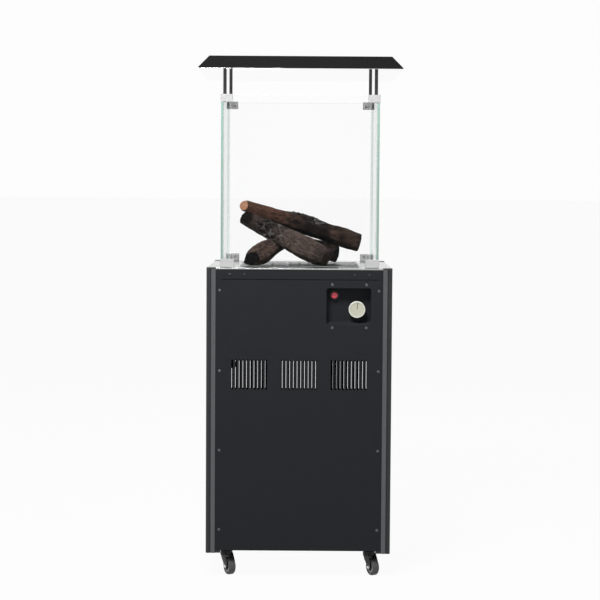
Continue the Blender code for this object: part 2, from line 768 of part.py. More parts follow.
def fork_mesh():
    head_low = FORK_TOP - FORK_HEAD
    bore = KINGPIN_RADIUS + GAP
    profile = (
        (bore, FORK_TOP),
        (FORK_RADIUS - FORK_HEAD_EDGE, FORK_TOP),
        (FORK_RADIUS, FORK_TOP - FORK_HEAD_EDGE),
        (FORK_RADIUS, head_low),
        (bore, head_low),
    )
    fork = place_tool("fork_head", profile_mesh("fork_head", profile, closed=True))
    turn_profile(fork, WHEEL_STEPS)
    inner = WHEEL_WIDTH / 2 + FORK_SIDE_CLEARANCE
    upright = Matrix(((0, 0, 1, 0), (1, 0, 0, 0), (0, 1, 0, 0), (0, 0, 0, 1)))
    for side, x in (("left", -inner - FORK_PLATE), ("right", inner)):
        frame = Matrix.Translation((x, 0, 0)) @ upright
        leg = prism_mesh("fork_leg", fork_leg_outline(), FORK_PLATE, frame)
        combine(fork, place_tool(f"fork_leg_{side}", leg), "UNION")
    reach = inner + FORK_PLATE / 2
    ends = [(x, -CASTER_TRAIL, WHEEL_RADIUS) for x in (-reach, reach)]
    combine(fork, place_tool("axle", cylinder_mesh("axle", AXLE_RADIUS, *ends)), "UNION")
    tip = inner + FORK_PLATE + AXLE_HEAD
    for side, sign in (("left", -1), ("right", 1)):
        ends = [(sign * x, -CASTER_TRAIL, WHEEL_RADIUS) for x in (reach, tip)]
        head = cylinder_mesh("axle_head", AXLE_HEAD_RADIUS, *ends, 6)
        combine(fork, place_tool(f"axle_head_{side}", head), "UNION")
    return shade_round(settled_mesh(fork, "caster_fork"))


def make_casters():
    fork = fork_mesh()
    profile = wheel_profile()
    names = ("front_left", "front_right", "rear_right", "rear_left")
    for name, (x, y) in zip(names, caster_places()):
        pivot = bpy.data.objects.new(f"caster_pivot_{name}", None)
        PARTS.objects.link(pivot)
        pivot.location = (x, y, 0)
        pivot.rotation_euler = (0, 0, CASTER_SWIVEL)
        place_part(f"caster_fork_{name}", fork.copy(), "black_steel", parent=pivot)
        wheel = place_part(
            f"caster_wheel_{name}",
            profile_mesh("caster_wheel", profile, closed=True),
            "tyre",
            place=(0, -CASTER_TRAIL, WHEEL_RADIUS),
            turn=(0, math.pi / 2, 0),
            parent=pivot,
        )
        turn_profile(wheel, WHEEL_STEPS)


# Rear door


def hinge_heights():
    """Lower edge of each hinge."""
    return (
        ("hinge_lower", PANEL_BOTTOM + HINGE_END_DISTANCE),
        ("hinge_upper", PANEL_TOP - HINGE_END_DISTANCE - HINGE_HEIGHT),
    )


def frame_leaf():
    """Leaf on the post, with its two knuckles and the pin, standing on z = 0."""
    third = HINGE_HEIGHT / 3
    face = HALF - POST_STRIP_SETBACK + GAP
    near = HINGE_X + HINGE_BARREL_RADIUS + GAP + GAP
    far = HINGE_X + HINGE_LEAF_WIDTH
    leaf = place_tool("leaf", box_mesh("leaf", (near, face, 0), (far, face + HINGE_LEAF, HINGE_HEIGHT)))
    ends = [(HINGE_X, HINGE_Y, z) for z in (third / 2, HINGE_HEIGHT - third / 2)]
    pin = cylinder_mesh("pin", HINGE_PIN_RADIUS, *ends)
    for side, foot in (("low", 0), ("high", HINGE_HEIGHT - third)):
        low = (HINGE_X, face + GAP / 2, foot + GAP)
        high = (near + HINGE_LEAF, face + HINGE_LEAF - GAP / 2, foot + third - GAP)
        ends = [(HINGE_X, HINGE_Y, z) for z in (foot, foot + third)]
        knuckle = cylinder_mesh("knuckle", HINGE_BARREL_RADIUS, *ends)
        combine(leaf, place_tool(f"tab_{side}", box_mesh("tab", low, high)), "UNION")
        combine(leaf, place_tool(f"knuckle_{side}", knuckle), "UNION")
    combine(leaf, place_tool("pin", pin), "UNION")
    return shade_round(settled_mesh(leaf, "frame_leaf"))


def door_leaf():
    """Leaf on the door, with the middle knuckle, standing on z = 0."""
    third = HINGE_HEIGHT / 3
    low, high = third + GAP, third * 2 - GAP
    bore = HINGE_PIN_RADIUS + GAP
    barrel = HINGE_BARREL_RADIUS
    profile = ((bore, high), (barrel, high), (barrel, low), (bore, low))
    ring = profile_mesh("door_knuckle", profile, closed=True)
    knuckle = turn_profile(place_tool("door_knuckle", ring, place=(HINGE_X, HINGE_Y, 0)))
    face = PANEL_FACE - SHEET / 2
    tab_top = HINGE_Y - HINGE_PIN_RADIUS - GAP - GAP
    tab = box_mesh("door_tab", (HINGE_X - DOOR_LEAF_WIDTH, face, low + GAP), (HINGE_X, tab_top, high - GAP))
    combine(knuckle, place_tool("door_tab", tab), "UNION")
    return settled_mesh(knuckle, "door_leaf")


def make_rear_door():
    """Built where the front panel stands, then turned to the rear, where its hinge is on +X."""
    low = PANEL_BOTTOM + DOOR_CLEARANCE
    high = PANEL_TOP - DOOR_CLEARANCE
    sheet = folded_sheet("door_sheet", DOOR_HALF, DOOR_RETURN_HALF, low, high, PANEL_RETURN)
    width, pitch = REAR_SLOT_WIDTH, REAR_SLOT_PITCH
    groups = slot_groups(DOOR_HALF, REAR_SLOT_SIDE_DISTANCE, REAR_SLOT_GROUP_GAP, width, pitch)
    add_slots(sheet, "rear_slots", SLOT_FOOT - REAR_SLOT_DROP, width, pitch, groups, 1)
    door = settled_mesh(sheet, "rear_door")
    door.transform(Matrix.Rotation(math.pi, 4, "Z"))
    door.transform(Matrix.Translation((-HINGE_X, -HINGE_Y, 0)))
    hinge = bpy.data.objects.new("door_hinge_axis", None)
    PARTS.objects.link(hinge)
    hinge.location = (HINGE_X, HINGE_Y, 0)
    part = place_part("rear_door", door, "black_coat", parent=hinge)
    leaf, mate = frame_leaf(), door_leaf()
    for name, foot in hinge_heights():
        place_part(name, leaf.copy(), "black_steel", place=(0, 0, foot))
        combine(part, place_tool(f"door_leaf_{name}", mate, place=(HINGE_X, HINGE_Y, foot)), "UNION")
    neck = PULL_LENGTH - PULL_HEAD
    profile = (
        (0, PULL_LENGTH),
        (PULL_RADIUS - PULL_HEAD / 4, PULL_LENGTH),
        (PULL_RADIUS, PULL_LENGTH - PULL_HEAD / 4),
        (PULL_RADIUS, neck + PULL_HEAD / 4),
        (PULL_NECK_RADIUS, neck),
        (PULL_NECK_RADIUS, GAP),
        (0, GAP),
    )
    height = PANEL_BOTTOM + PANEL_HEIGHT * PULL_HEIGHT_SHARE
    place = (PULL_INSET - DOOR_HALF - HINGE_X, PANEL_FACE - HINGE_Y, height)
    mesh = profile_mesh("door_pull", profile)
    turn_profile(place_part("door_pull", mesh, "black_plastic", place, (-math.pi / 2, 0, 0), hinge))


# Controls


def make_control_panel():
    """A pressed pocket with a flange that screws behind the front panel."""
    sheet = RECESS_SHEET
    levels = (
        (RECESS_FLOOR, recess_outline(RECESS_DRAFT, RECESS_BOTTOM_SLOPE)),
        (RECESS_FRONT, recess_outline()),
        (RECESS_FRONT, recess_outline(-RECESS_FLANGE)),
        (RECESS_FRONT + sheet, recess_outline(-RECESS_FLANGE)),
        (RECESS_FRONT + sheet, recess_outline(-sheet)),
        (RECESS_BACK, recess_outline(RECESS_DRAFT - sheet, RECESS_BOTTOM_SLOPE)),
    )
    mesh = pan_mesh("control_panel", [[(x, y, z) for x, z in outline] for y, outline in levels])
    part = place_part("control_panel", shade_round(mesh), "black_coat")
    reach = (RECESS_FLOOR - OVERRUN / 2, RECESS_FLOOR + OVERRUN / 2)
    holes = bmesh.new()
    add_cylinder(holes, SPINDLE_HOLE_RADIUS, (KNOB_X, reach[0], KNOB_Z), (KNOB_X, reach[1], KNOB_Z))
    barrel = BUTTON_RADIUS + GAP + PIEZO_WALL + GAP
    add_cylinder(holes, barrel, (BUTTON_X, reach[0], BUTTON_Z), (BUTTON_X, reach[1], BUTTON_Z))
    combine(part, place_tool("control_holes", to_mesh(holes, "control_holes")))


def d_outline(radius, flat):
    """A circle cut by a flat on its upper side."""
    start = math.acos(flat / radius)
    return [(y, x) for x, y in reversed(arc((0, 0), radius, start, math.pi * 2 - start, ROUND_STEPS))]


def make_knob():
    """Its origin is on the spindle's axis, at its back face; local +Z points out of the panel."""
    outward = (math.pi / 2, 0, 0)
    back = RECESS_FLOOR - KNOB_STANDOFF
    profile = (
        (0, KNOB_DEPTH - KNOB_DISH),
        (KNOB_FACE_RADIUS - KNOB_EDGE, KNOB_DEPTH - KNOB_DISH),
        (KNOB_FACE_RADIUS, KNOB_DEPTH),
        (KNOB_RADIUS - KNOB_EDGE, KNOB_DEPTH),
        (KNOB_RADIUS, KNOB_DEPTH - KNOB_EDGE),
        (KNOB_RADIUS - KNOB_WAIST, KNOB_SKIRT),
        (KNOB_RADIUS, KNOB_SKIRT - KNOB_EDGE),
        (KNOB_RADIUS, 0),
        (0, 0),
    )
    place = (KNOB_X, back, KNOB_Z)
    knob = place_part("knob", profile_mesh("knob", profile), "cream_plastic", place, outward)
    turn_profile(knob, KNOB_STEPS)
    tilt = Matrix.Rotation(-KNOB_POINTER_TILT, 4, "Z")
    pointer = bmesh.new()
    half = KNOB_POINTER_WIDTH / 2
    low = (-half, -half, KNOB_DEPTH - KNOB_DISH - KNOB_POINTER_DEPTH)
    add_box(pointer, low, (half, KNOB_RADIUS + OVERRUN, KNOB_DEPTH + OVERRUN))
    bmesh.ops.transform(pointer, matrix=tilt, verts=pointer.verts)
    combine(knob, place_tool("knob_pointer", to_mesh(pointer, "knob_pointer"), place, outward))
    outline = d_outline(SPINDLE_RADIUS + GAP, SPINDLE_FLAT + GAP)
    bore = prism_mesh("knob_bore", outline, KNOB_BORE_DEPTH + OVERRUN, Matrix.Translation((0, 0, -OVERRUN)))
    combine(knob, place_tool("knob_bore", bore, place, outward))


def make_spindle():
    """The valve's spindle, with a flat where the knob slides on it."""
    outward = (math.pi / 2, 0, 0)
    inner = RECESS_BACK + GAP + SPINDLE_SEAT
    tip = RECESS_FLOOR - KNOB_STANDOFF - KNOB_BORE_DEPTH + KNOB_TRAVEL + GAP
    flat_from = RECESS_FLOOR - GAP
    shape = bmesh.new()
    add_cylinder(shape, SPINDLE_RADIUS, (0, 0, GAP), (0, 0, inner - tip))
    place = (KNOB_X, inner, KNOB_Z)
    spindle = place_part("valve_spindle", to_mesh(shape, "valve_spindle"), "brass", place, outward)
    low = (-SPINDLE_RADIUS - GAP, SPINDLE_FLAT, inner - flat_from)
    high = (SPINDLE_RADIUS + GAP, SPINDLE_RADIUS + GAP, inner - tip + OVERRUN)
    combine(spindle, place_tool("spindle_flat", box_mesh("spindle_flat", low, high), place, outward))


def valve_ports():
    """Places of the outlet's upper face and the inlet's lower face."""
    middle = RECESS_BACK + GAP + VALVE_BONNET + VALVE_DEPTH / 2
    outlet = (KNOB_X, middle, KNOB_Z + VALVE_HEIGHT / 2 + PORT_LENGTH)
    inlet = (KNOB_X, middle, KNOB_Z - VALVE_HEIGHT / 2 - PORT_LENGTH - THREAD_LENGTH)
    return outlet, inlet


def make_valve():
    front = RECESS_BACK + GAP
    body_front = front + VALVE_BONNET
    low = (KNOB_X - VALVE_WIDTH / 2, body_front, KNOB_Z - VALVE_HEIGHT / 2)
    high = (KNOB_X + VALVE_WIDTH / 2, body_front + VALVE_DEPTH, KNOB_Z + VALVE_HEIGHT / 2)
    valve = place_part("gas_valve", box_mesh("gas_valve", low, high), "brass")
    round_edges(valve, VALVE_EDGE)
    outlet, inlet = valve_ports()
    middle = (KNOB_X, outlet[1], KNOB_Z)
    bonnet = cylinder_mesh("bonnet", VALVE_BONNET_RADIUS, (KNOB_X, front, KNOB_Z), middle)
    combine(valve, place_tool("bonnet", bonnet), "UNION")
    combine(valve, place_tool("outlet", cylinder_mesh("outlet", PORT_RADIUS, middle, outlet, 6)), "UNION")
    boss = (KNOB_X, inlet[1], inlet[2] + THREAD_LENGTH)
    combine(valve, place_tool("inlet", cylinder_mesh("inlet", PORT_RADIUS, middle, boss, 6)), "UNION")
    combine(valve, place_tool("thread", cylinder_mesh("thread", THREAD_RADIUS, middle, inlet)), "UNION")
    seat_end = front + SPINDLE_SEAT + GAP
    ends = [(KNOB_X, y, KNOB_Z) for y in (front - OVERRUN, seat_end)]
    combine(valve, place_tool("seat", cylinder_mesh("seat", SPINDLE_RADIUS + GAP, *ends)))


def make_igniter():
    """The piezo cell is a blind barrel through the panel; the button slides in it."""
    outward = (math.pi / 2, 0, 0)
    bore = BUTTON_RADIUS + GAP
    barrel = bore + PIEZO_WALL
    depth = BUTTON_SEAT + BUTTON_TRAVEL
    rear = -PIEZO_LENGTH
    profile = (
        (0, -depth),
        (bore, -depth),
        (bore, PIEZO_BEZEL + GAP),
        (PIEZO_BEZEL_RADIUS, PIEZO_BEZEL + GAP),
        (PIEZO_BEZEL_RADIUS, GAP),
        (barrel, GAP),
        (barrel, rear),
        (PIEZO_TAIL_RADIUS, rear),
        (PIEZO_TAIL_RADIUS, rear - PIEZO_TAIL),
        (0, rear - PIEZO_TAIL),
    )
    place = (BUTTON_X, RECESS_FLOOR, BUTTON_Z)
    mesh = profile_mesh("piezo_igniter", profile)
    turn_profile(place_part("piezo_igniter", mesh, "black_plastic", place, outward))
    foot = GAP - BUTTON_SEAT
    top = PIEZO_BEZEL + BUTTON_PROUD
    cap = (
        (0, top - foot),
        (BUTTON_RADIUS - BUTTON_EDGE * 2, top - foot),
        (BUTTON_RADIUS - BUTTON_EDGE / 2, top - foot - BUTTON_EDGE / 2),
        (BUTTON_RADIUS, top - foot - BUTTON_EDGE * 2),
        (BUTTON_RADIUS, 0),
        (0, 0),
    )
    place = (BUTTON_X, RECESS_FLOOR - foot, BUTTON_Z)
    mesh = profile_mesh("igniter_button", cap)
    turn_profile(place_part("igniter_button", mesh, "red_plastic", place, outward))


# Gas pipe and leads


def smooth_route(corners, bend, steps=4):
    """Points along straight runs through the corners, with each corner rounded off by bend."""
    points = [Vector(corners[0])]
    for before, corner, after in zip(corners, corners[1:], corners[2:]):
        corner = Vector(corner)
        start = corner + (Vector(before) - corner).normalized() * bend
        end = corner + (Vector(after) - corner).normalized() * bend
        for i in range(steps + 1):
            share = i / steps
            points.append(start.lerp(corner, share).lerp(corner.lerp(end, share), share))
    points.append(Vector(corners[-1]))
    return points


def tube(name, points, radius, cyclic=False):
    curve = bpy.data.curves.new(name, "CURVE")
    curve.dimensions = "3D"
    curve.bevel_depth = radius
    curve.bevel_resolution = 2
    curve.use_fill_caps = True
    spline = curve.splines.new("POLY")
    spline.points.add(len(points) - 1)
    for target, point in zip(spline.points, points):
        target.co = (*point, 1)
    spline.use_cyclic_u = cyclic
    return curve


def make_pipe_and_leads():
    outlet, _ = valve_ports()
    start = (outlet[0], outlet[1], outlet[2] + GAP)
    end = (0, 0, TRAY_FLOOR - TRAY_SHEET - VENTURI_DROP - GAP)
    level = end[2] - PIPE_BEND - GAP
    route = smooth_route((start, (start[0], start[1], level), (0, 0, level), end), PIPE_BEND)
    place_part("gas_pipe", tube("gas_pipe", route, PIPE_RADIUS), "brass")
    tails = pilot_tails()
    middle = RECESS_BACK + GAP + VALVE_BONNET + VALVE_DEPTH
    start = (KNOB_X, middle + GAP, KNOB_Z)
    back = (KNOB_X, middle + LEAD_BEND * 2, KNOB_Z)
    drop = tails[1][2] - LEAD_BEND - LEAD_DROP
    route = (start, back, (back[0], back[1], drop), (tails[1][0], tails[1][1], drop), tails[1])
    lead = tube("thermocouple_lead", smooth_route(route, LEAD_BEND), LEAD_RADIUS)
    place_part("thermocouple_lead", lead, "copper")
    rear = RECESS_FLOOR + PIEZO_LENGTH + PIEZO_TAIL
    start = (BUTTON_X, rear + GAP, BUTTON_Z)
    back = (BUTTON_X, rear + LEAD_BEND * 2, BUTTON_Z)
    high = tails[0][2] - LEAD_BEND - GAP
    route = (start, back, (tails[0][0], tails[0][1], high), tails[0])
    lead = tube("ignition_lead", smooth_route(route, LEAD_BEND), LEAD_RADIUS)
    place_part("ignition_lead", lead, "red_plastic")


# Deck, tray and burner


def make_deck():
    """A plate notched round the posts, its four edges folded down over the rails."""
    corner = OPENING_HALF - GAP
    points = []
    for i in range(4):
        turn = Matrix.Rotation(i * math.pi / 2, 4, "Z")
        for x, y in ((-corner, -DECK_HALF), (corner, -DECK_HALF), (corner, -corner)):
            points.append(turn @ Vector((x, y, DECK_TOP)))
    shape = bmesh.new()
    top = [shape.verts.new(point) for point in points]
    shape.faces.new(top)
    for i in range(0, len(top), 3):
        low = [shape.verts.new((v.co.x, v.co.y, DECK_TOP - DECK_LIP)) for v in top[i:i + 2]]
        shape.faces.new((top[i + 1], top[i], low[0], low[1]))
    deck = place_part("deck_plate", to_mesh(shape, "deck_plate", closed=False), "stainless")
    add_thickness(deck, DECK_SHEET)
    half = TRAY_MOUTH_HALF + TRAY_SHEET + GAP
    lift = Matrix.Translation((0, 0, DECK_TOP - OVERRUN / 2))
    combine(deck, place_tool("deck_mouth", prism_mesh("deck_mouth", square_outline(half), OVERRUN, lift)))


def make_tray():
    """A drop-in pan with a flange on the deck and a ledge that the cover rests on."""
    ledge = COVER_BOTTOM - GAP
    sheet = TRAY_SHEET
    levels = (
        (TRAY_LEDGE_HALF, TRAY_FLOOR),
        (TRAY_LEDGE_HALF, ledge),
        (TRAY_MOUTH_HALF, ledge),
        (TRAY_MOUTH_HALF, TRAY_TOP),
        (TRAY_FLANGE_HALF, TRAY_TOP),
        (TRAY_FLANGE_HALF, TRAY_TOP - sheet),
        (TRAY_MOUTH_HALF + sheet, TRAY_TOP - sheet),
        (TRAY_MOUTH_HALF + sheet, ledge - sheet),
        (TRAY_LEDGE_HALF + sheet, ledge - sheet),
        (TRAY_LEDGE_HALF + sheet, TRAY_FLOOR - sheet),
    )
    mesh = pan_mesh("burner_tray", [square_loop(half, z) for half, z in levels])
    tray = place_part("burner_tray", mesh, "dark_enamel")
    holes = bmesh.new()
    low, high = TRAY_FLOOR - OVERRUN, TRAY_FLOOR + OVERRUN
    add_cylinder(holes, VENTURI_RADIUS + GAP, (0, 0, low), (0, 0, high))
    half_x = PILOT_TIP_SPREAD + PILOT_TAIL_RADIUS + PILOT_CLEARANCE
    half_y = PILOT_TAIL_RADIUS + PILOT_CLEARANCE
    add_box(holes, (PILOT_X - half_x, PILOT_Y - half_y, low), (PILOT_X + half_x, PILOT_Y + half_y, high))
    combine(tray, place_tool("tray_holes", to_mesh(holes, "tray_holes")))


def make_cover():
    """The plate that the logs stand on, with two rows of flame slots and an opening for the pilot."""
    shape = bmesh.new()
    half = TRAY_MOUTH_HALF - COVER_CLEARANCE
    add_box(shape, (-half, -half, COVER_BOTTOM), (half, half, COVER_TOP))
    cover = place_part("burner_cover", to_mesh(shape, "burner_cover"), "dark_enamel")
    cuts = bmesh.new()
    reach_x = FLAME_SLOT_WIDTH / 2
    reach_y = FLAME_SLOT_LENGTH / 2
    outline = rounded_rectangle((-reach_x, -reach_y), (reach_x, reach_y), reach_x - GAP, 1)
    for row in (-1, 1):
        for i in range(FLAME_SLOT_COUNT):
            x = (i - (FLAME_SLOT_COUNT - 1) / 2) * FLAME_SLOT_PITCH
            place = (x, row * BURNER_HALF_DEPTH, COVER_BOTTOM - OVERRUN / 2)
            add_prism(cuts, outline, OVERRUN, Matrix.Translation(place))
    half_x = PILOT_WIDTH / 2 + PILOT_CLEARANCE
    half_y = PILOT_DEPTH / 2 + PILOT_CLEARANCE
    low = (PILOT_X - half_x, PILOT_Y - half_y, COVER_BOTTOM - OVERRUN / 2)
    add_box(cuts, low, (PILOT_X + half_x, PILOT_Y + half_y, COVER_TOP + OVERRUN / 2))
    combine(cover, place_tool("flame_slots", to_mesh(cuts, "flame_slots")))


def make_burner():
    """A square tube ring under the flame slots, fed by a venturi through the tray's floor."""
    height = COVER_BOTTOM - BURNER_UNDER_COVER - BURNER_RADIUS
    x, y = BURNER_HALF_SPAN, BURNER_HALF_DEPTH
    ring = [(px, py, height) for px, py in rounded_rectangle((-x, -y), (x, y), BURNER_BEND)]
    guide = place_tool("burner_ring", tube("burner_ring", ring, BURNER_RADIUS, cyclic=True))
    mesh = settled_mesh(guide, "burner")
    bpy.data.objects.remove(guide)
    burner = place_part("burner", shade_round(mesh), "stainless")
    feed = tube("burner_feed", [(0, -y, height), (0, y, height)], VENTURI_RADIUS)
    guide = place_tool("burner_feed", feed)
    mesh = settled_mesh(guide, "burner_feed")
    bpy.data.objects.remove(guide)
    shape = bmesh.new()
    shape.from_mesh(mesh)
    bmesh.ops.remove_doubles(shape, verts=shape.verts, dist=MERGE)
    combine(burner, place_tool("burner_feed", to_mesh(shape, "burner_feed")), "UNION")
    foot = (0, 0, TRAY_FLOOR - TRAY_SHEET - VENTURI_DROP)
    venturi = cylinder_mesh("venturi", VENTURI_RADIUS, foot, (0, 0, height))
    combine(burner, place_tool("venturi", venturi), "UNION")


def pilot_tails():
    """Lower ends of the electrode and the thermocouple, where their leads begin."""
    low = TRAY_FLOOR - TRAY_SHEET - PILOT_TAIL_DROP - GAP
    return ((PILOT_X - PILOT_TIP_SPREAD, PILOT_Y, low), (PILOT_X + PILOT_TIP_SPREAD, PILOT_Y, low))


def make_pilot():
    """An upright shield on a foot, with the electrode and the thermocouple in front of it."""
    top = COVER_TOP + PILOT_PROUD
    foot = TRAY_FLOOR + GAP
    back = PILOT_Y + PILOT_DEPTH / 2
    left, right = PILOT_X - PILOT_WIDTH / 2, PILOT_X + PILOT_WIDTH / 2
    shield = box_mesh("shield", (left, back - PILOT_SHEET, foot), (right, back, top))
    pilot = place_part("pilot_assembly", shield, "stainless")
    high = (right, back - PILOT_SHEET / 2, foot + PILOT_SHEET)
    base = box_mesh("base", (left, PILOT_Y - PILOT_FOOT, foot), high)
    combine(pilot, place_tool("pilot_foot", base), "UNION")
    for name, (x, y, tail) in zip(("electrode", "thermocouple"), pilot_tails()):
        tip = cylinder_mesh(name, PILOT_TIP_RADIUS, (x, y, foot), (x, y, top - PILOT_TIP_RADIUS), 8)
        combine(pilot, place_tool(name, tip), "UNION")
        ends = ((x, y, tail + GAP), (x, y, foot + PILOT_SHEET * 2))
        socket = cylinder_mesh(name, PILOT_TAIL_RADIUS, *ends, 8)
        combine(pilot, place_tool(name + "_socket", socket), "UNION")


# Glass, clamps, rods and hood


def make_glass():
    """The side panes run the whole depth; the front and rear panes stand between them."""
    inner = GLASS_HALF - GLASS_THICKNESS
    short = inner - GLASS_JOINT
    side = box_mesh("side", (-GLASS_HALF, -GLASS_HALF, GLASS_BOTTOM), (GLASS_HALF, -inner, GLASS_TOP))
    front = box_mesh("front", (-short, -GLASS_HALF, GLASS_BOTTOM), (short, -inner, GLASS_TOP))
    panes = (
        ("glass_front", front, 0),
        ("glass_right", side, math.pi / 2),
        ("glass_rear", front, math.pi),
        ("glass_left", side, -math.pi / 2),
    )
    for name, mesh, turn in panes:
        round_edges(place_part(name, mesh.copy(), "glass", turn=(0, 0, turn)), GLASS_ARRIS)


def clamp_mesh(name, length, low, high, slot_low, slot_high):
    """An L-shaped block round the front left corner of the glass, slotted for both panes."""
    outer = -CLAMP_OUTER
    depth = CLAMP_SKIN + SLOT_DEPTH + CLAMP_LEG
    outline = [
        (outer, outer),
        (outer + length, outer),
        (outer + length, outer + depth),
        (outer + depth, outer + depth),
        (outer + depth, outer + length),
        (outer, outer + length),
    ]
    block = place_tool(name, prism_mesh(name, outline, high - low, Matrix.Translation((0, 0, low))))
    round_edges(block, CLAMP_EDGE)
    near = outer + CLAMP_SKIN
    far = outer + length + OVERRUN
    for i, end in enumerate(((far, near + SLOT_DEPTH), (near + SLOT_DEPTH, far))):
        slot = box_mesh("slot", (near, near, slot_low), (*end, slot_high))
        combine(block, place_tool(f"{name}_slot_{i}", slot))
    return settled_mesh(block, name)


def make_clamps():
    base = BOTTOM_CLAMP_BASE
    top = base + BOTTOM_CLAMP_HEIGHT
    bottom = clamp_mesh("bottom_clamp", BOTTOM_CLAMP_LENGTH, base, top, base + CLAMP_FLOOR, top + OVERRUN)
    base, top = TOP_CLAMP_BASE, TOP_CLAMP_TOP
    upper = clamp_mesh("top_clamp", TOP_CLAMP_LENGTH, base, top, base - OVERRUN, top - CLAMP_FLOOR)
    corners = ("front_left", "front_right", "rear_right", "rear_left")
    for name, turn in quarter_turns(corners):
        place_part(f"clamp_bottom_{name}", bottom.copy(), "clamp_alloy", turn=(0, 0, turn))
        place_part(f"clamp_top_{name}", upper.copy(), "clamp_alloy", turn=(0, 0, turn))


def rod_places():
    p = ROD_PLACE
    return (("front_left", -p, -p), ("front_right", p, -p), ("rear_right", p, p), ("rear_left", -p, p))


def make_rods():
    low = TOP_CLAMP_TOP + GAP
    high = HOOD_TOP - HOOD_SHEET - GAP
    mesh = shade_round(cylinder_mesh("rod", ROD_RADIUS, (0, 0, low), (0, 0, high)))
    for name, x, y in rod_places():
        place_part(f"rod_{name}", mesh.copy(), "black_steel", (x, y, 0))


def make_hood():
    """A low hipped roof of sheet steel, closed below by a bright reflector under its rim."""
    shape = bmesh.new()
    rows = loop_faces(shape, (square_loop(HOOD_HALF, HOOD_BOTTOM), square_loop(HOOD_TOP_HALF, HOOD_TOP)))
    shape.faces.new(rows[-1])
    shell = place_part("hood_shell", to_mesh(shape, "hood_shell", closed=False), "black_steel")
    add_thickness(shell, HOOD_SHEET)
    high = HOOD_BOTTOM - HOOD_SHEET - GAP
    low = high - REFLECTOR_SHEET
    sheet = box_mesh("heat_reflector", (-HOOD_HALF, -HOOD_HALF, low), (HOOD_HALF, HOOD_HALF, high))
    reflector = place_part("heat_reflector", sheet, "stainless")
    holes = bmesh.new()
    for _, x, y in rod_places():
        add_cylinder(holes, ROD_RADIUS + GAP, (x, y, low - OVERRUN), (x, y, high + OVERRUN))
    combine(reflector, place_tool("rod_holes", to_mesh(holes, "rod_holes")))


# Logs


def log_place(shares):
    return Vector(shares) * LOG_SPAN + Vector((0, 0, LOG_FLOOR))


def log_shape(name, grow=0.0):
    """A loft of lobed sections from one end of the log to the other, thicker all round by grow."""
    log = LOG_SET[name]
    start, end = log_place(log["start_shares"]), log_place(log["end_shares"])
    along = (end - start).normalized()
    start, end = start - along * grow, end + along * grow
    turn = along.to_track_quat("Z", "Y").to_matrix()
    phase = sum(ord(letter) for letter in name)
    shape = bmesh.new()
    loops = []
    for i in range(LOG_RINGS):
        share = i / (LOG_RINGS - 1)
        loop = []
        for j in range(LOG_SIDES):
            angle = j * math.tau / LOG_SIDES
            lobe = LOG_LOBE_SHARE * math.sin(3 * angle + phase + share * 2)
            knot = LOG_KNOT_SHARE * math.sin(5 * angle - phase + share * 9)
            radius = LOG_SPAN * LOG_RADIUS_SHARE * log["radius_shares"][i] * (1 + lobe + knot) + grow
            spot = Vector((radius * math.cos(angle), radius * math.sin(angle), 0))
            loop.append(start.lerp(end, share) + turn @ spot)
        loops.append(loop)
    rows = loop_faces(shape, loops)
    shape.faces.new(rows[0])
    shape.faces.new(rows[-1])
    bmesh.ops.triangulate(shape, faces=shape.faces, quad_method="FIXED")
    return to_mesh(shape, name)


def make_logs():
    """Each log is seated in the ones below it and flat where it stands on the cover."""
    reach = TRAY_FLANGE_HALF + OVERRUN
    low = (-reach, -reach, LOG_FLOOR - reach)
    ground = place_tool("log_ground", box_mesh("log_ground", low, (reach, reach, LOG_FLOOR)))
    for name, log in LOG_SET.items():
        part = place_part(name, log_shape(name), "log")
        combine(part, ground)
        for lower in log["rests_on"]:
            combine(part, place_tool(f"{name}_on_{lower}", log_shape(lower, LOG_SEAT_GAP)))


def build():
    make_base_plate()
    make_posts()
    make_rails()
    make_panels()
    make_rear_door()
    make_casters()
    make_control_panel()
    make_knob()
    make_spindle()
    make_valve()
    make_igniter()
    make_deck()
    make_tray()
    make_cover()
    make_burner()
    make_pilot()
    make_pipe_and_leads()
    make_glass()
    make_clamps()
    make_rods()
    make_hood()
    make_logs()


clear_scene()
PARTS = new_collection("patio_heater")
TOOLS = new_collection("cutters")
build()
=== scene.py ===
"""Looks for the gas patio heater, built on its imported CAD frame."""

import json
import math

import bmesh
import bpy
from mathutils import Matrix, Vector, noise


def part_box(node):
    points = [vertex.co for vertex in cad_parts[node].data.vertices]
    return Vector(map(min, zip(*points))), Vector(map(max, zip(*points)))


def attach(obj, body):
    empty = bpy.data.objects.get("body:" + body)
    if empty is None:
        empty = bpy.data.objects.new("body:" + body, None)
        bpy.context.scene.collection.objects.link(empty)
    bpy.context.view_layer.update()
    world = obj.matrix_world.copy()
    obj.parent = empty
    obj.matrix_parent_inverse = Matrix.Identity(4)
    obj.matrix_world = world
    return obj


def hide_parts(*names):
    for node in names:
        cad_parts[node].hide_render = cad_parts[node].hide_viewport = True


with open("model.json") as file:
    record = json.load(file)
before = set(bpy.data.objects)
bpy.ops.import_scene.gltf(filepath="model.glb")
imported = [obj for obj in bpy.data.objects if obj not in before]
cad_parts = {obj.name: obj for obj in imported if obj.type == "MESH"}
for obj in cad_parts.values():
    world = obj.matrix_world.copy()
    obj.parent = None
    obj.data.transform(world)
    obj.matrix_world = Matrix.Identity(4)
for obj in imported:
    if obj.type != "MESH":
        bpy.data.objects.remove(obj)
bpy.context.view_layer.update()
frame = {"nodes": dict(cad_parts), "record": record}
NODES = frame["nodes"]
BODIES = frame["record"]["behaviour"]["bodies"]
NODE_BODY = {node: body for body, members in BODIES.items() for node in members}
CORNERS = ("front_left", "front_right", "rear_right", "rear_left")
CORNER_SIGNS = ((-1, -1), (1, -1), (1, 1), (-1, 1))
SIDES = ("front", "right", "rear", "left")
QUARTER = math.pi / 2

# Camera

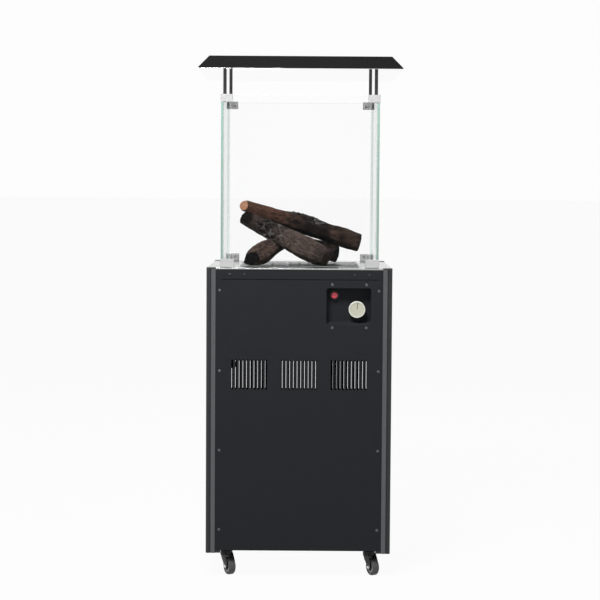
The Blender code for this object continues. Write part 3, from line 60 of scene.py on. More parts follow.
EYE = Vector((0.002, -5.329, 1.125))
PITCH = math.radians(3.6)
ROLL = math.radians(0.37)
FOCAL_PIXELS = 1765
FRAME_PIXELS = 600
SENSOR_WIDTH = 36

camera_data = bpy.data.cameras.new("camera")
camera_data.sensor_width = SENSOR_WIDTH
camera_data.lens = FOCAL_PIXELS / FRAME_PIXELS * SENSOR_WIDTH
camera = bpy.data.objects.new("camera", camera_data)
bpy.context.scene.collection.objects.link(camera)
tilt = Matrix.Rotation(QUARTER - PITCH, 4, "X") @ Matrix.Rotation(ROLL, 4, "Z")
camera.matrix_world = Matrix.Translation(EYE) @ tilt
bpy.context.scene.camera = camera
bpy.context.scene.view_settings.view_transform = "Standard"


# Materials


class Nodes:
    """Short calls for building one node material."""

    def __init__(self, name):
        self.material = bpy.data.materials.new(name)
        self.material.use_nodes = True
        self.tree = self.material.node_tree
        self.shader = self.tree.nodes["Principled BSDF"]

    def add(self, kind, inputs=(), **settings):
        node = self.tree.nodes.new(kind)
        for key, value in settings.items():
            setattr(node, key, value)
        for key, value in dict(inputs).items():
            self.feed(node.inputs[key], value)
        return node

    def feed(self, socket, value):
        if isinstance(value, bpy.types.NodeSocket):
            self.tree.links.new(value, socket)
        else:
            socket.default_value = value

    def mark(self, name, output="Fac"):
        return self.add("ShaderNodeAttribute", attribute_name=name).outputs[output]

    def math(self, operation, first, second=None, clamp=False):
        inputs = {0: first} if second is None else {0: first, 1: second}
        return self.add("ShaderNodeMath", inputs, operation=operation, use_clamp=clamp).outputs[0]

    def grain(self, scale, stretch=(1, 1, 1), detail=4.0, roughness=0.55, spot=None):
        """Noise over the object's own space, or over the given coordinates."""
        if spot is None:
            spot = self.add("ShaderNodeTexCoord").outputs["Object"]
        place = self.add("ShaderNodeMapping", {"Vector": spot, "Scale": stretch}).outputs["Vector"]
        inputs = {"Vector": place, "Scale": scale, "Detail": detail, "Roughness": roughness}
        return self.add("ShaderNodeTexNoise", inputs).outputs["Fac"]

    def span(self, value, low, high, start=0.3, end=0.7):
        inputs = {"Value": value, "From Min": start, "From Max": end, "To Min": low, "To Max": high}
        return self.add("ShaderNodeMapRange", inputs).outputs["Result"]

    def blend(self, share, first, second):
        mix = self.add("ShaderNodeMix", data_type="RGBA")
        self.feed(mix.inputs[0], share)
        self.feed(mix.inputs[6], first)
        self.feed(mix.inputs[7], second)
        return mix.outputs[2]

    def relief(self, height, strength, distance, normal=None):
        inputs = {"Height": height, "Strength": strength, "Distance": distance}
        if normal:
            inputs["Normal"] = normal
        return self.add("ShaderNodeBump", inputs).outputs["Normal"]


SCREEN_GAMMA = 2.2
COOL = (1.0, 1.02, 1.05)


def tone(grey, tint=(1, 1, 1)):
    """Linear colour from a level of 0 to 255 as seen on screen."""
    return tuple((grey * part / 255) ** SCREEN_GAMMA for part in tint) + (1,)


def shade(colour, factor):
    return tuple(min(1, part * factor) for part in colour[:3]) + (1,)


def plain(name, colour, roughness, metallic=0.0, specular=0.5, spread=0.10, scale=30,
          stretch=(1, 1, 1), fine=900, relief=0.15, depth=0.0002, coat=0.0):
    """A finish with soft changes of colour and gloss, and a fine relief."""
    made = Nodes(name)
    soft = made.grain(scale, stretch)
    small = made.grain(fine, stretch, detail=2.0)
    shader = made.shader.inputs
    made.feed(shader["Base Color"], made.blend(soft, shade(colour, 1 - spread), shade(colour, 1 + spread)))
    made.feed(shader["Roughness"], made.span(soft, roughness * 0.88, roughness * 1.12))
    shader["Metallic"].default_value = metallic
    shader["Specular IOR Level"].default_value = specular
    shader["Coat Weight"].default_value = coat
    made.feed(shader["Normal"], made.relief(small, relief, depth))
    return made.material


COAT = plain("powder_coat", tone(41, (1.0, 1.03, 1.09)), 0.55, specular=0.08,
             fine=1400, relief=0.35, depth=0.00012)
POST = plain("post_coat", tone(45, COOL), 0.38, specular=0.28, fine=1400, relief=0.3, depth=0.00012)
# The strips beside the grooves: the post's coat painted lighter, a painted highlight where they catch the
# light.
STRIP_HIGHLIGHT = plain("post_strip_painted_highlight", tone(86, COOL), 0.38, metallic=0.25, specular=0.4,
              fine=1400, relief=0.3, depth=0.00012)
CAP = plain("post_cap_plastic", tone(62), 0.45, specular=0.4, fine=1100, relief=0.3, depth=0.00015)
HOOD = plain("hood_coat", tone(28), 0.62, specular=0.04, fine=1200, relief=0.3, depth=0.00012)
ROD = plain("rod_black", tone(58), 0.30, metallic=0.4, specular=0.4,
            scale=80, stretch=(1, 1, 0.15), relief=0.1)
ENAMEL = plain("tray_enamel", tone(46), 0.45, specular=0.20, fine=700, relief=0.4)
POLISHED = plain("polished_steel", tone(172), 0.24, metallic=1.0, spread=0.012,
                 scale=8, stretch=(1, 40, 40), fine=300, relief=0.02)
polished_inputs = POLISHED.node_tree.nodes["Principled BSDF"].inputs
polished_inputs["Specular Tint"].default_value = (0.75, 0.75, 0.75, 1)
REFLECTOR = plain("reflector_steel", tone(253), 0.06, metallic=1.0, spread=0.02,
                  scale=6, fine=400, relief=0.02)
STEEL = plain("bare_steel", tone(190), 0.25, metallic=1.0, spread=0.08, scale=60, relief=0.08)
SCREW = plain("screw_black_zinc", tone(90, COOL), 0.32, metallic=0.5, specular=0.4,
              spread=0.15, scale=300, relief=0.1)
SCREW_DARK = plain("rail_screw_black", tone(52), 0.40, metallic=0.3, specular=0.3,
                   spread=0.15, scale=300, relief=0.1)
BOLT = plain("bolt_zinc", tone(215), 0.22, metallic=1.0, spread=0.06, scale=200, relief=0.08)
ALLOY = plain("clamp_alloy", tone(188), 0.36, metallic=0.55, specular=0.4,
              spread=0.04, scale=90, fine=800, relief=0.12)
BRASS = plain("brass", (0.60, 0.42, 0.17), 0.30, metallic=1.0, scale=120, relief=0.1)
COPPER = plain("copper", (0.62, 0.30, 0.18), 0.32, metallic=1.0, spread=0.12, scale=150, relief=0.1)
SILICONE = plain("lead_silicone", (0.45, 0.04, 0.04), 0.55, spread=0.08, scale=150, relief=0.1)
BLACK_PLASTIC = plain("black_plastic", tone(36), 0.40, specular=0.45,
                      fine=1300, relief=0.35, depth=0.0001)
CREAM = plain("knob_cream", (0.66, 0.67, 0.61), 0.32, spread=0.03, scale=120, relief=0.08)
CREAM_FACE = plain("knob_face", (0.52, 0.515, 0.42), 0.38, specular=0.4,
                   spread=0.05, scale=150, relief=0.1)
POINTER = plain("knob_pointer_paint", tone(108, (1.0, 1.03, 0.9)), 0.45,
                spread=0.06, scale=200, relief=0.08)
RED = plain("button_red", (0.80, 0.036, 0.068), 0.22, specular=0.6,
            spread=0.05, scale=200, fine=700, relief=0.05, coat=0.4)
TYRE = plain("wheel_tread", tone(76), 0.60, specular=0.35, scale=220, fine=1200, relief=0.4)
WHEEL_RING = plain("wheel_ring", tone(150), 0.42, specular=0.45, spread=0.06, scale=220)
WHEEL_DISC = plain("wheel_disc", tone(34), 0.45, specular=0.4, scale=220, relief=0.2)
FORK = plain("fork_black", tone(28), 0.42, specular=0.22,
             spread=0.12, scale=160, fine=1200, relief=0.25)


def glass_face():
    """Clear glass, greener where it is seen at a low angle."""
    made = Nodes("glass_pane")
    shader = made.shader.inputs
    low = made.add("ShaderNodeLayerWeight", {"Blend": 0.12}).outputs["Facing"]
    smear = made.grain(14, (1, 1, 0.6))
    face, slanting = (0.26, 0.32, 0.30, 1), (0.12, 0.44, 0.31, 1)
    made.feed(shader["Base Color"], made.blend(low, face, slanting))
    made.feed(shader["Roughness"], made.span(smear, 0.015, 0.05))
    made.feed(shader["Alpha"], made.span(low, 0.006, 0.45, 0.0, 1.0))
    return made.material


def glass_edge(name, colour, alpha):
    """A ground edge that gathers the colour of the pane behind it."""
    made = Nodes(name)
    shader = made.shader.inputs
    streak = made.grain(120, (1, 1, 0.08))
    made.feed(shader["Base Color"], made.blend(streak, shade(colour, 0.86), shade(colour, 1.12)))
    made.feed(shader["Roughness"], made.span(streak, 0.12, 0.28))
    shader["Alpha"].default_value = alpha
    return made.material


PANE = glass_face()
EDGE = glass_edge("glass_edge_green", (0.19, 0.335, 0.275), 0.88)
EDGE_SOFT = glass_edge("glass_edge_soft_green", (0.45, 0.72, 0.62), 0.45)
EDGE_PALE = glass_edge("glass_edge_pale", (0.72, 0.86, 0.80), 0.30)


def log_bark():
    """Charred bark: brown wood with a grain along the log, black char, painted shade in its cracks and
    hollows, and ash on curled flakes.
    """
    made = Nodes("log_bark")
    shader = made.shader.inputs
    zone = {key: made.mark(key) for key in LOG_MARKS}
    lengthwise = made.mark("grain", "Vector")
    patch = made.grain(24, detail=6.0)
    fibre = made.grain(190, (1, 1, 0.16), 8.0, 0.7, lengthwise)
    curl = made.grain(95, (1, 1, 0.45), 3.0, 0.65, lengthwise)
    streak = made.span(fibre, 0, 1, 0.32, 0.68)
    cool = made.blend(streak, (0.053, 0.0365, 0.0315, 1), (0.094, 0.068, 0.059, 1))
    warm = made.blend(streak, (0.046, 0.0220, 0.0150, 1), (0.108, 0.055, 0.038, 1))
    wood = made.blend(zone["warm"], cool, warm)
    soot = made.math("ADD", made.span(patch, -0.25, 0.32, 0.35, 0.65), zone["char"], clamp=True)
    burnt = made.blend(soot, wood, (0.0072, 0.0046, 0.0038, 1))
    # Painted shade: the bark's cracks and hollows are darkened almost to black.
    crease_shade = made.span(zone["ridge"], 0.60, 0, 0.20, 0.48)
    crease_shaded = made.blend(crease_shade, burnt, (0.0040, 0.0034, 0.0034, 1))
    off_middle = made.math("ABSOLUTE", made.math("SUBTRACT", curl, 0.5))
    line = made.span(off_middle, 1, 0, 0.002, 0.022)
    broken = made.math("MULTIPLY", line, made.span(patch, 0.12, 1, 0.46, 0.58))
    ashen = made.math("MULTIPLY", broken, zone["ash"])
    made.feed(shader["Base Color"], made.blend(ashen, crease_shaded, (0.30, 0.285, 0.27, 1)))
    made.feed(shader["Roughness"], made.span(fibre, 0.62, 0.95))
    shader["Specular IOR Level"].default_value = 0.03
    coarse = made.relief(fibre, 0.6, 0.0016)
    made.feed(shader["Normal"], made.relief(curl, 0.5, 0.0016, coarse))
    return made.material


def log_cut(name, pale, dark):
    """A cut end, with growth rings."""
    made = Nodes(name)
    shader = made.shader.inputs
    wobble = made.grain(60, detail=5.0)
    rings = made.math("MULTIPLY", made.math("ADD", made.mark("reach"), wobble), 46.0)
    wave = made.math("SINE", rings)
    made.feed(shader["Base Color"], made.blend(made.span(wave, 0, 1, -1, 1), dark, pale))
    made.feed(shader["Roughness"], made.span(wobble, 0.7, 0.95))
    shader["Specular IOR Level"].default_value = 0.02
    made.feed(shader["Normal"], made.relief(wave, 0.3, 0.0005))
    return made.material


LOG_MARKS = ("ridge", "char", "ash", "warm")
BARK = log_bark()
SAWN = log_cut("log_sawn_end", (0.50, 0.27, 0.17, 1), (0.33, 0.16, 0.095, 1))
SCORCHED = log_cut("log_scorched_end", (0.046, 0.030, 0.025, 1), (0.022, 0.015, 0.013, 1))
CHARRED = log_cut("log_charred_end", (0.0070, 0.0058, 0.0056, 1), (0.0025, 0.0020, 0.0020, 1))


# Mesh helpers


def keep(name, shape, looks, body, replaces=(), angle=32):
    """Turns a shape into a finished piece that rides on a body."""
    bmesh.ops.recalc_face_normals(shape, faces=shape.faces)
    mesh = bpy.data.meshes.new(name)
    shape.to_mesh(mesh)
    shape.free()
    mesh.shade_smooth()
    mesh.set_sharp_from_angle(angle=math.radians(angle))
    for look in looks:
        mesh.materials.append(look)
    piece = bpy.data.objects.new(name, mesh)
    bpy.context.scene.collection.objects.link(piece)
    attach(piece, body)
    if replaces:
        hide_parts(*replaces)
    return piece


def lathe(shape, profile, steps=64, matrix=None, closed=False, look=None):
    """Turns (radius, height) points about Z; look gives a face's material from its two points."""
    rings = []
    for radius, height in profile:
        if radius == 0:
            rings.append([shape.verts.new((0, 0, height))])
            continue
        turns = [i * math.tau / steps for i in range(steps)]
        circle = [(radius * math.cos(a), radius * math.sin(a), height) for a in turns]
        rings.append([shape.verts.new(point) for point in circle])
    pairs = list(zip(range(len(rings)), range(1, len(rings))))
    if closed:
        pairs.append((len(rings) - 1, 0))
    for a, b in pairs:
        first, second = rings[a], rings[b]
        for i in range(steps):
            j = (i + 1) % steps
            if len(first) == 1:
                corners = (first[0], second[j], second[i])
            elif len(second) == 1:
                corners = (first[i], first[j], second[0])
            else:
                corners = (first[i], first[j], second[j], second[i])
            face = shape.faces.new(corners)
            if look:
                face.material_index = look(profile[a], profile[b])
    if matrix:
        bmesh.ops.transform(shape, matrix=matrix, verts=[v for ring in rings for v in ring])


def arc(x, y, radius, start, end, steps):
    """Points of an arc, in degrees."""
    angles = [math.radians(start + (end - start) * i / steps) for i in range(steps + 1)]
    return [(x + radius * math.cos(a), y + radius * math.sin(a)) for a in angles]


def block(shape, low, high):
    verts = bmesh.ops.create_cube(shape, size=1)["verts"]
    bmesh.ops.scale(shape, vec=[b - a for a, b in zip(low, high)], verts=verts)
    bmesh.ops.translate(shape, vec=[(a + b) / 2 for a, b in zip(low, high)], verts=verts)


def facing(direction):
    """Turns local +Z to a direction."""
    return Vector(direction).to_track_quat("Z", "Y").to_matrix().to_4x4()


MERGE = 0.00001
FLAT_ANGLE = math.radians(0.5)
EDGE_ANGLE = math.radians(35)


def refined(node, looks, width, segments=2, pick=None, angle=30):
    """A CAD node's form with its edges rounded; pick gives each face's material."""
    shape = bmesh.new()
    shape.from_mesh(NODES[node].data)
    bmesh.ops.remove_doubles(shape, verts=shape.verts, dist=MERGE)
    bmesh.ops.dissolve_limit(shape, angle_limit=FLAT_ANGLE, verts=shape.verts, edges=shape.edges)
    for face in shape.faces:
        face.material_index = pick(face) if pick else 0
    piece = keep(f"{node}_shape", shape, looks, NODE_BODY[node], (node,), angle=angle)
    bevel = piece.modifiers.new("edges", "BEVEL")
    bevel.width = width
    bevel.segments = segments
    bevel.limit_method = "ANGLE"
    bevel.angle_limit = EDGE_ANGLE
    bevel.harden_normals = True


def dress(node, look):
    mesh = NODES[node].data
    mesh.materials.clear()
    mesh.materials.append(look)


# Cabinet sheets and frame

POST_TOP = 0.8961
STRIP_FACE = 0.2650
STRIP_SPAN = (0.236, 0.2525)


def cap_or_post(face):
    """Picks the cap, the strips beside the grooves (the post's coat painted lighter, a painted highlight),
    or the coat.
    """
    spot = face.calc_center_median()
    inner, outer = sorted((abs(spot.x), abs(spot.y)))
    if spot.z > POST_TOP:
        return 1
    return 2 if outer > STRIP_FACE and STRIP_SPAN[0] < inner < STRIP_SPAN[1] else 0


for corner in CORNERS:
    refined(f"post_{corner}", (POST, CAP, STRIP_HIGHLIGHT), 0.0005, 2, cap_or_post, angle=40)
for side in SIDES:
    refined(f"rail_{side}", (COAT,), 0.0004)
for side in ("front", "right", "left"):
    refined(f"{side}_panel", (COAT,), 0.0009, 3)
refined("rear_door", (COAT,), 0.0004)
refined("base_plate", (COAT,), 0.0004, 1)
refined("control_panel", (COAT,), 0.0005, 2, angle=45)
refined("deck_plate", (POLISHED,), 0.0008, 3)
refined("burner_tray", (ENAMEL,), 0.0004, 2)
refined("burner_cover", (ENAMEL,), 0.0004, 1)
refined("pilot_assembly", (STEEL,), 0.0003, 1)
for node in ("hinge_lower", "hinge_upper"):
    refined(node, (FORK,), 0.0003, 1)
refined("gas_valve", (BRASS,), 0.0003, 1)
dress("burner", STEEL)
dress("valve_spindle", BRASS)
dress("gas_pipe", BRASS)
dress("thermocouple_lead", COPPER)
dress("ignition_lead", SILICONE)

# Screws


def screw_form(radius, height):
    """A pan head with a cross recess, its seat on z = 0."""
    shape = bmesh.new()
    turns = (0, 0.4, 0.8, 1.15)
    crown = [(radius * math.cos(a), height * (0.35 + 0.65 * math.sin(a))) for a in turns]
    lathe(shape, [(0, 0), (radius, 0)] + crown + [(0, height)], 28)
    bmesh.ops.recalc_face_normals(shape, faces=shape.faces)
    mesh = bpy.data.meshes.new("screw_form")
    shape.to_mesh(mesh)
    shape.free()
    cutter = bmesh.new()
    arm, wide = radius * 0.58, radius * 0.11
    block(cutter, (-arm, -wide, height * 0.35), (arm, wide, height * 2))
    cross = bpy.data.meshes.new("cross")
    cutter.to_mesh(cross)
    cutter.free()
    head = bpy.data.objects.new("screw_form", mesh)
    bpy.context.scene.collection.objects.link(head)
    tools = []
    for turn in (0, QUARTER):
        tool = bpy.data.objects.new("cross", cross)
        bpy.context.scene.collection.objects.link(tool)
        tool.rotation_euler = (0, 0, turn)
        tools.append(tool)
        cut = head.modifiers.new("cross", "BOOLEAN")
        cut.object = tool
    whole = head.evaluated_get(bpy.context.evaluated_depsgraph_get())
    made = bpy.data.meshes.new_from_object(whole)
    for thing in [head] + tools:
        bpy.data.objects.remove(thing)
    return made


PAN_HEAD = screw_form(0.0042, 0.0022)
SMALL_HEAD = screw_form(0.0032, 0.0016)


def screws(name, form, places, normal, look=SCREW):
    """Joins one screw per place into a piece; each is turned differently, as driven screws are."""
    shape = bmesh.new()
    for i, place in enumerate(places):
        before = len(shape.verts)
        shape.from_mesh(form)
        shape.verts.ensure_lookup_table()
        turn = Matrix.Rotation(0.7 * i + 0.3, 4, "Z")
        move = Matrix.Translation(place) @ facing(normal) @ turn
        bmesh.ops.transform(shape, matrix=move, verts=shape.verts[before:])
    keep(name, shape, (look,), "cabinet")


FACE = 0.2655
SIDE_PLACE = 0.229
SIDE_HEIGHTS = (0.8327, 0.6005, 0.3700, 0.1388)
RAIL_PLACES = (-0.2008, -0.1578, 0.1590, 0.2016)
RAIL_HEIGHT = 0.8785
RECESS_PLACES = (0.0952, 0.1931)
RECESS_HEIGHTS = (0.8502, 0.7266)
HINGE_PLACE = (0.2492, 0.2683)
HINGE_FEET = (0.1875, 0.694)
HINGE_SCREW_RISES = (0.012, 0.048)
ROD_PLACE = 0.218
HOOD_TOP = 1.5034


def spun(places, turn):
    return [Matrix.Rotation(turn, 4, "Z") @ Vector(place) for place in places]


panel_places = [(x, -FACE, z) for z in SIDE_HEIGHTS for x in (-SIDE_PLACE, SIDE_PLACE)]
rail_places = [(x, -FACE, RAIL_HEIGHT) for x in RAIL_PLACES]
for i, side in enumerate(SIDES):
    turn = i * QUARTER
    normal = Matrix.Rotation(turn, 4, "Z") @ Vector((0, -1, 0))
    screws(f"rail_screws_{side}", PAN_HEAD, spun(rail_places, turn), normal, SCREW_DARK)
    if side != "rear":
        screws(f"panel_screws_{side}", PAN_HEAD, spun(panel_places, turn), normal)
recess_places = [(x, -FACE, z) for x in RECESS_PLACES for z in RECESS_HEIGHTS]
screws("control_panel_screws", PAN_HEAD, recess_places, (0, -1, 0))
hinge_places = [HINGE_PLACE + (foot + rise,) for foot in HINGE_FEET for rise in HINGE_SCREW_RISES]
screws("hinge_screws", SMALL_HEAD, hinge_places, (0, 1, 0))
roof_places = [(x, y, HOOD_TOP) for x in (-ROD_PLACE, ROD_PLACE) for y in (-ROD_PLACE, ROD_PLACE)]
screws("hood_screws", PAN_HEAD, roof_places, (0, 0, 1))

# Glass

GLASS_HALF = 0.2285
NARROW_HALF = 0.2215
PANE_THICK = 0.006
PANE_FOOT = 0.9011
PANE_TOP = 1.3931
PANE_ARRIS = 0.0006
PANE_LOOKS = (PANE, EDGE, EDGE_PALE, EDGE_SOFT)


def pane(name, half_width, turn):
    """A pane with ground edges: green where it stands, pale along its top and foot."""
    shape = bmesh.new()
    high = (half_width, PANE_THICK - GLASS_HALF, PANE_TOP)
    block(shape, (-half_width, -GLASS_HALF, PANE_FOOT), high)
    edges = shape.edges[:]
    bmesh.ops.bevel(shape, geom=edges, offset=PANE_ARRIS, segments=2, affect="EDGES", profile=0.5)
    bmesh.ops.recalc_face_normals(shape, faces=shape.faces)
    for face in shape.faces:
        sides, up = abs(face.normal.x), abs(face.normal.z)
        face.material_index = 1 if sides > 0.3 else 2 if up > 0.3 else 0
    bmesh.ops.transform(shape, matrix=Matrix.Rotation(turn, 4, "Z"), verts=shape.verts)
    for face in shape.faces:
        if face.material_index == 1 and face.calc_center_median().y > 0.1:
            face.material_index = 3
    keep(f"pane_{name}", shape, PANE_LOOKS, "cabinet", (f"glass_{name}",))


for name, half_width, turn in (
    ("front", NARROW_HALF, 0),
    ("right", GLASS_HALF, QUARTER),
    ("rear", NARROW_HALF, QUARTER * 2),
    ("left", GLASS_HALF, -QUARTER),
):
    pane(name, half_width, turn)

# Clamps

CLAMP_INNER = -0.2142
CLAMP_LEVELS = (("bottom", -0.2021, 0.9125), ("top", -0.2046, 1.3815))


def socket_screw(shape, place, normal):
    """A grub screw with a round socket, just proud of the leg."""
    radius = 0.0032
    profile = [(radius, 0), (radius, 0.0008), (radius * 0.92, 0.0011)]
    profile += [(radius * 0.55, 0.0011), (radius * 0.50, -0.0016), (0, -0.0016)]
    lathe(shape, profile, 24, Matrix.Translation(place) @ facing(normal))


for i, corner in enumerate(CORNERS):
    turn = Matrix.Rotation(i * QUARTER, 4, "Z")
    for level, middle, height in CLAMP_LEVELS:
        refined(f"clamp_{level}_{corner}", (ALLOY,), 0.0007, 2)
        shape = bmesh.new()
        for place, normal in (
            ((middle, CLAMP_INNER, height), (0, 1, 0)),
            ((CLAMP_INNER, middle, height), (1, 0, 0)),
        ):
            socket_screw(shape, turn @ Vector(place), turn @ Vector(normal))
        keep(f"clamp_{level}_screws_{corner}", shape, (SCREW,), "cabinet")

# Rods and hood

ROD_SPAN = (1.3967, 1.5016)
ROD_RADIUS = 0.005
ROD_CHAMFER = 0.0005

for corner, (sx, sy) in zip(CORNERS, CORNER_SIGNS):
    shape = bmesh.new()
    low, high = ROD_SPAN
    profile = [(0, low), (ROD_RADIUS * 0.9, low), (ROD_RADIUS, low + ROD_CHAMFER)]
    profile += [(ROD_RADIUS, high - ROD_CHAMFER), (ROD_RADIUS * 0.9, high), (0, high)]
    lathe(shape, profile, 40, Matrix.Translation((sx * ROD_PLACE, sy * ROD_PLACE, 0)))
    keep(f"rod_shape_{corner}", shape, (ROD,), "cabinet", (f"rod_{corner}",))
refined("hood_shell", (HOOD,), 0.0006, 3)
refined("heat_reflector", (REFLECTOR,), 0.0003, 2)

# Knob, igniter and button

KNOB_AT = Vector((0.1665, -0.240, 0.779))
BUTTON_AT = Vector((0.101, -0.234, 0.8195))
OUTWARD = Matrix.Rotation(QUARTER, 4, "X")


def knob():
    """A round knob with a bright rim, a dished face and a sunk pointer line."""
    deep, wide, face = 0.021, 0.0238, 0.0208
    dish = deep - 0.0012
    profile = [(0, 0.0001), (wide - 0.0008, 0.0001), (wide, 0.0008), (wide, 0.0028)]
    profile += arc(wide, 0.0042, 0.0013, 270, 90, 6)
    profile += [(wide - 0.0009, 0.0070), (wide - 0.0004, 0.0150)]
    profile += arc(wide - 0.0014, deep - 0.0014, 0.0014, 0, 90, 6)
    profile += [(face + 0.0004, deep)]
    profile += arc(face, deep - 0.0005, 0.0005, 80, 180, 4)
    profile += [(face - 0.0006, dish + 0.0001), (face - 0.0012, dish)]
    profile += [(0.010, dish - 0.0002), (0, dish - 0.0002)]

    def look(a, b):
        return 1 if max(a[0], b[0]) <= face - 0.0003 and min(a[1], b[1]) > deep / 2 else 0

    shape = bmesh.new()
    lathe(shape, profile, 96, look=look)
    half = 0.0013
    outline = [(-half, 0.0016)] + arc(0, 0.0192, half, 180, 0, 6) + [(half, 0.0016)]
    bar = [shape.verts.new((x, y, dish - 0.0004)) for x, y in outline]
    top = [shape.verts.new((x, y, dish + 0.00025)) for x, y in outline]
    tilt = Matrix.Rotation(math.radians(-5), 4, "Z")
    bmesh.ops.transform(shape, matrix=tilt, verts=bar + top)
    for i in range(len(bar)):
        j = (i + 1) % len(bar)
        shape.faces.new((bar[i], bar[j], top[j], top[i])).material_index = 2
    shape.faces.new(top).material_index = 2
    shape.faces.new(bar).material_index = 2
    bmesh.ops.transform(shape, matrix=Matrix.Translation(KNOB_AT) @ OUTWARD, verts=shape.verts)
    looks = (CREAM, CREAM_FACE, POINTER)
    keep("knob_shape", shape, looks, "knob", ("knob",), angle=50)


def button():
    """A domed push button."""
    wide, top = 0.0095, 0.0120
    foot = 0.0003 - top
    profile = [(0, foot), (wide - 0.0003, foot), (wide, foot + 0.0003)]
    profile += arc(wide - 0.0022, top - 0.0022, 0.0022, 0, 72, 7)
    profile += [(0.0050, top + 0.00005), (0.0025, top + 0.0002), (0, top + 0.00025)]
    shape = bmesh.new()
    lathe(shape, profile, 64, Matrix.Translation(BUTTON_AT) @ OUTWARD)
    keep("button_shape", shape, (RED,), "button", ("igniter_button",), angle=50)


def igniter():
    """The igniter's barrel: a bezel in the pocket, a threaded body and a tail."""
    bore, barrel, bezel = 0.0098, 0.0113, 0.0135
    profile = [(0, -0.018), (bore, -0.018), (bore, 0.0018), (bore + 0.0005, 0.0023)]
    profile += [(bezel - 0.0010, 0.0023)]
    profile += arc(bezel - 0.0010, 0.0013, 0.0010, 90, 0, 4)
    profile += [(bezel, 0.0003), (barrel, 0.0003)]
    for i in range(12):
        level = -0.0035 - i * 0.0016
        profile += [(barrel, level + 0.0004), (barrel - 0.0005, level - 0.0004)]
    profile += [(barrel, -0.024), (barrel, -0.0475), (barrel - 0.0005, -0.048)]
    profile += [(0.004, -0.048), (0.004, -0.0575), (0.0035, -0.058), (0, -0.058)]
    shape = bmesh.new()
    lathe(shape, profile, 56, Matrix.Translation(BUTTON_AT) @ OUTWARD)
    replaced = ("piezo_igniter",)
    keep("igniter_shape", shape, (BLACK_PLASTIC,), "cabinet", replaced)


knob()
button()
igniter()

# Door pull


def door_pull():
    """A turned knob on the outer face of the rear door."""
    low, high = (Vector(point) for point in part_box("door_pull"))
    place = Matrix.Translation((0.5 * (low.x + high.x), FACE, 0.5 * (low.z + high.z)))
    profile = [(0, 0.0003), (0.0065, 0.0003), (0.0060, 0.0010)]
    profile += arc(0.0110, 0.0065, 0.0050, 180, 110, 5)
    profile += arc(0.0100, 0.0170, 0.0030, -60, 0, 4)
    profile += arc(0.0095, 0.0180, 0.0035, 0, 80, 6) + [(0, 0.0220)]
    shape = bmesh.new()
    lathe(shape, profile, 56, place @ Matrix.Rotation(-QUARTER, 4, "X"))
    keep("door_pull_shape", shape, (BLACK_PLASTIC,), "door", ("door_pull",))


door_pull()

# Casters

SWIVEL = math.radians(27)
TRAIL = 0.022
WHEEL_RADIUS = 0.025
CASTER_PLACE = 0.209


def wheel(corner, matrix):
    """A hard tyre with a rounded tread, a dished disc and a pale ring on each face."""
    half, bore = 0.010, 0.0033
    side = [(bore, half), (0.0072, half), (0.0076, half - 0.0004), (0.0078, half - 0.0026)]
    side += [(0.0084, half - 0.0030), (0.0118, half - 0.0030), (0.0124, half - 0.0024)]
    side += [(0.0126, half - 0.0010), (0.0162, half - 0.0010), (0.0165, half - 0.0004)]
    side += [(0.0170, half), (0.0200, half - 0.0002)]
    side += arc(WHEEL_RADIUS - 0.0045, half - 0.0047, 0.0045, 80, 0, 7)
    profile = side + [(radius, -height) for radius, height in reversed(side)]

    def look(a, b):
        inner = min(a[0], b[0])
        return 0 if inner >= 0.0164 else 1 if inner >= 0.0123 else 2

    shape = bmesh.new()
    lathe(shape, profile, 72, matrix @ Matrix.Rotation(QUARTER, 4, "Y"), closed=True, look=look)
    name, body, replaced = f"wheel_shape_{corner}", f"wheel_{corner}", (f"caster_wheel_{corner}",)
    keep(name, shape, (TYRE, WHEEL_RING, WHEEL_DISC), body, replaced, angle=40)


def bolt_ends(corner, matrix):
    """Bright dome caps over the two ends of the axle."""
    profile = [(0.0062, 0), (0.0062, 0.0008), (0.0052, 0.0010), (0.0048, 0.0026)]
    profile += [(0.0040, 0.0034), (0.0022, 0.0040), (0, 0.0042)]
    shape = bmesh.new()
    for side in (-1, 1):
        end = matrix @ Matrix.Translation((side * 0.0135, 0, 0)) @ facing((side, 0, 0))
        lathe(shape, profile, 32, end)
    keep(f"axle_ends_{corner}", shape, (BOLT,), f"swivel_{corner}", angle=50)


def crown_plate(corner, matrix):
    """The curved plate that joins the fork's legs behind the wheel."""
    shape = bmesh.new()
    half = 0.0116
    outline = arc(0, 0, 0.0320, 28, 50, 6) + arc(0, 0, 0.0335, 50, 28, 6)
    rows = [[shape.verts.new(matrix @ Vector((x, y, z))) for x in (-half, half)] for y, z in outline]
    for i in range(len(rows)):
        a, b = rows[i], rows[(i + 1) % len(rows)]
        shape.faces.new((a[0], a[1], b[1], b[0]))
    shape.faces.new([row[0] for row in rows])
    shape.faces.new([row[1] for row in rows])
    keep(f"fork_crown_{corner}", shape, (FORK,), f"swivel_{corner}", angle=40)


for corner, (sx, sy) in zip(CORNERS, CORNER_SIGNS):
    pivot = Matrix.Translation((sx * CASTER_PLACE, sy * CASTER_PLACE, 0))
    axle = pivot @ Matrix.Rotation(SWIVEL, 4, "Z") @ Matrix.Translation((0, -TRAIL, WHEEL_RADIUS))
    wheel(corner, axle)
    bolt_ends(corner, axle)
    crown_plate(corner, axle)
    refined(f"caster_fork_{corner}", (FORK,), 0.0004, 2, angle=40)

# Logs

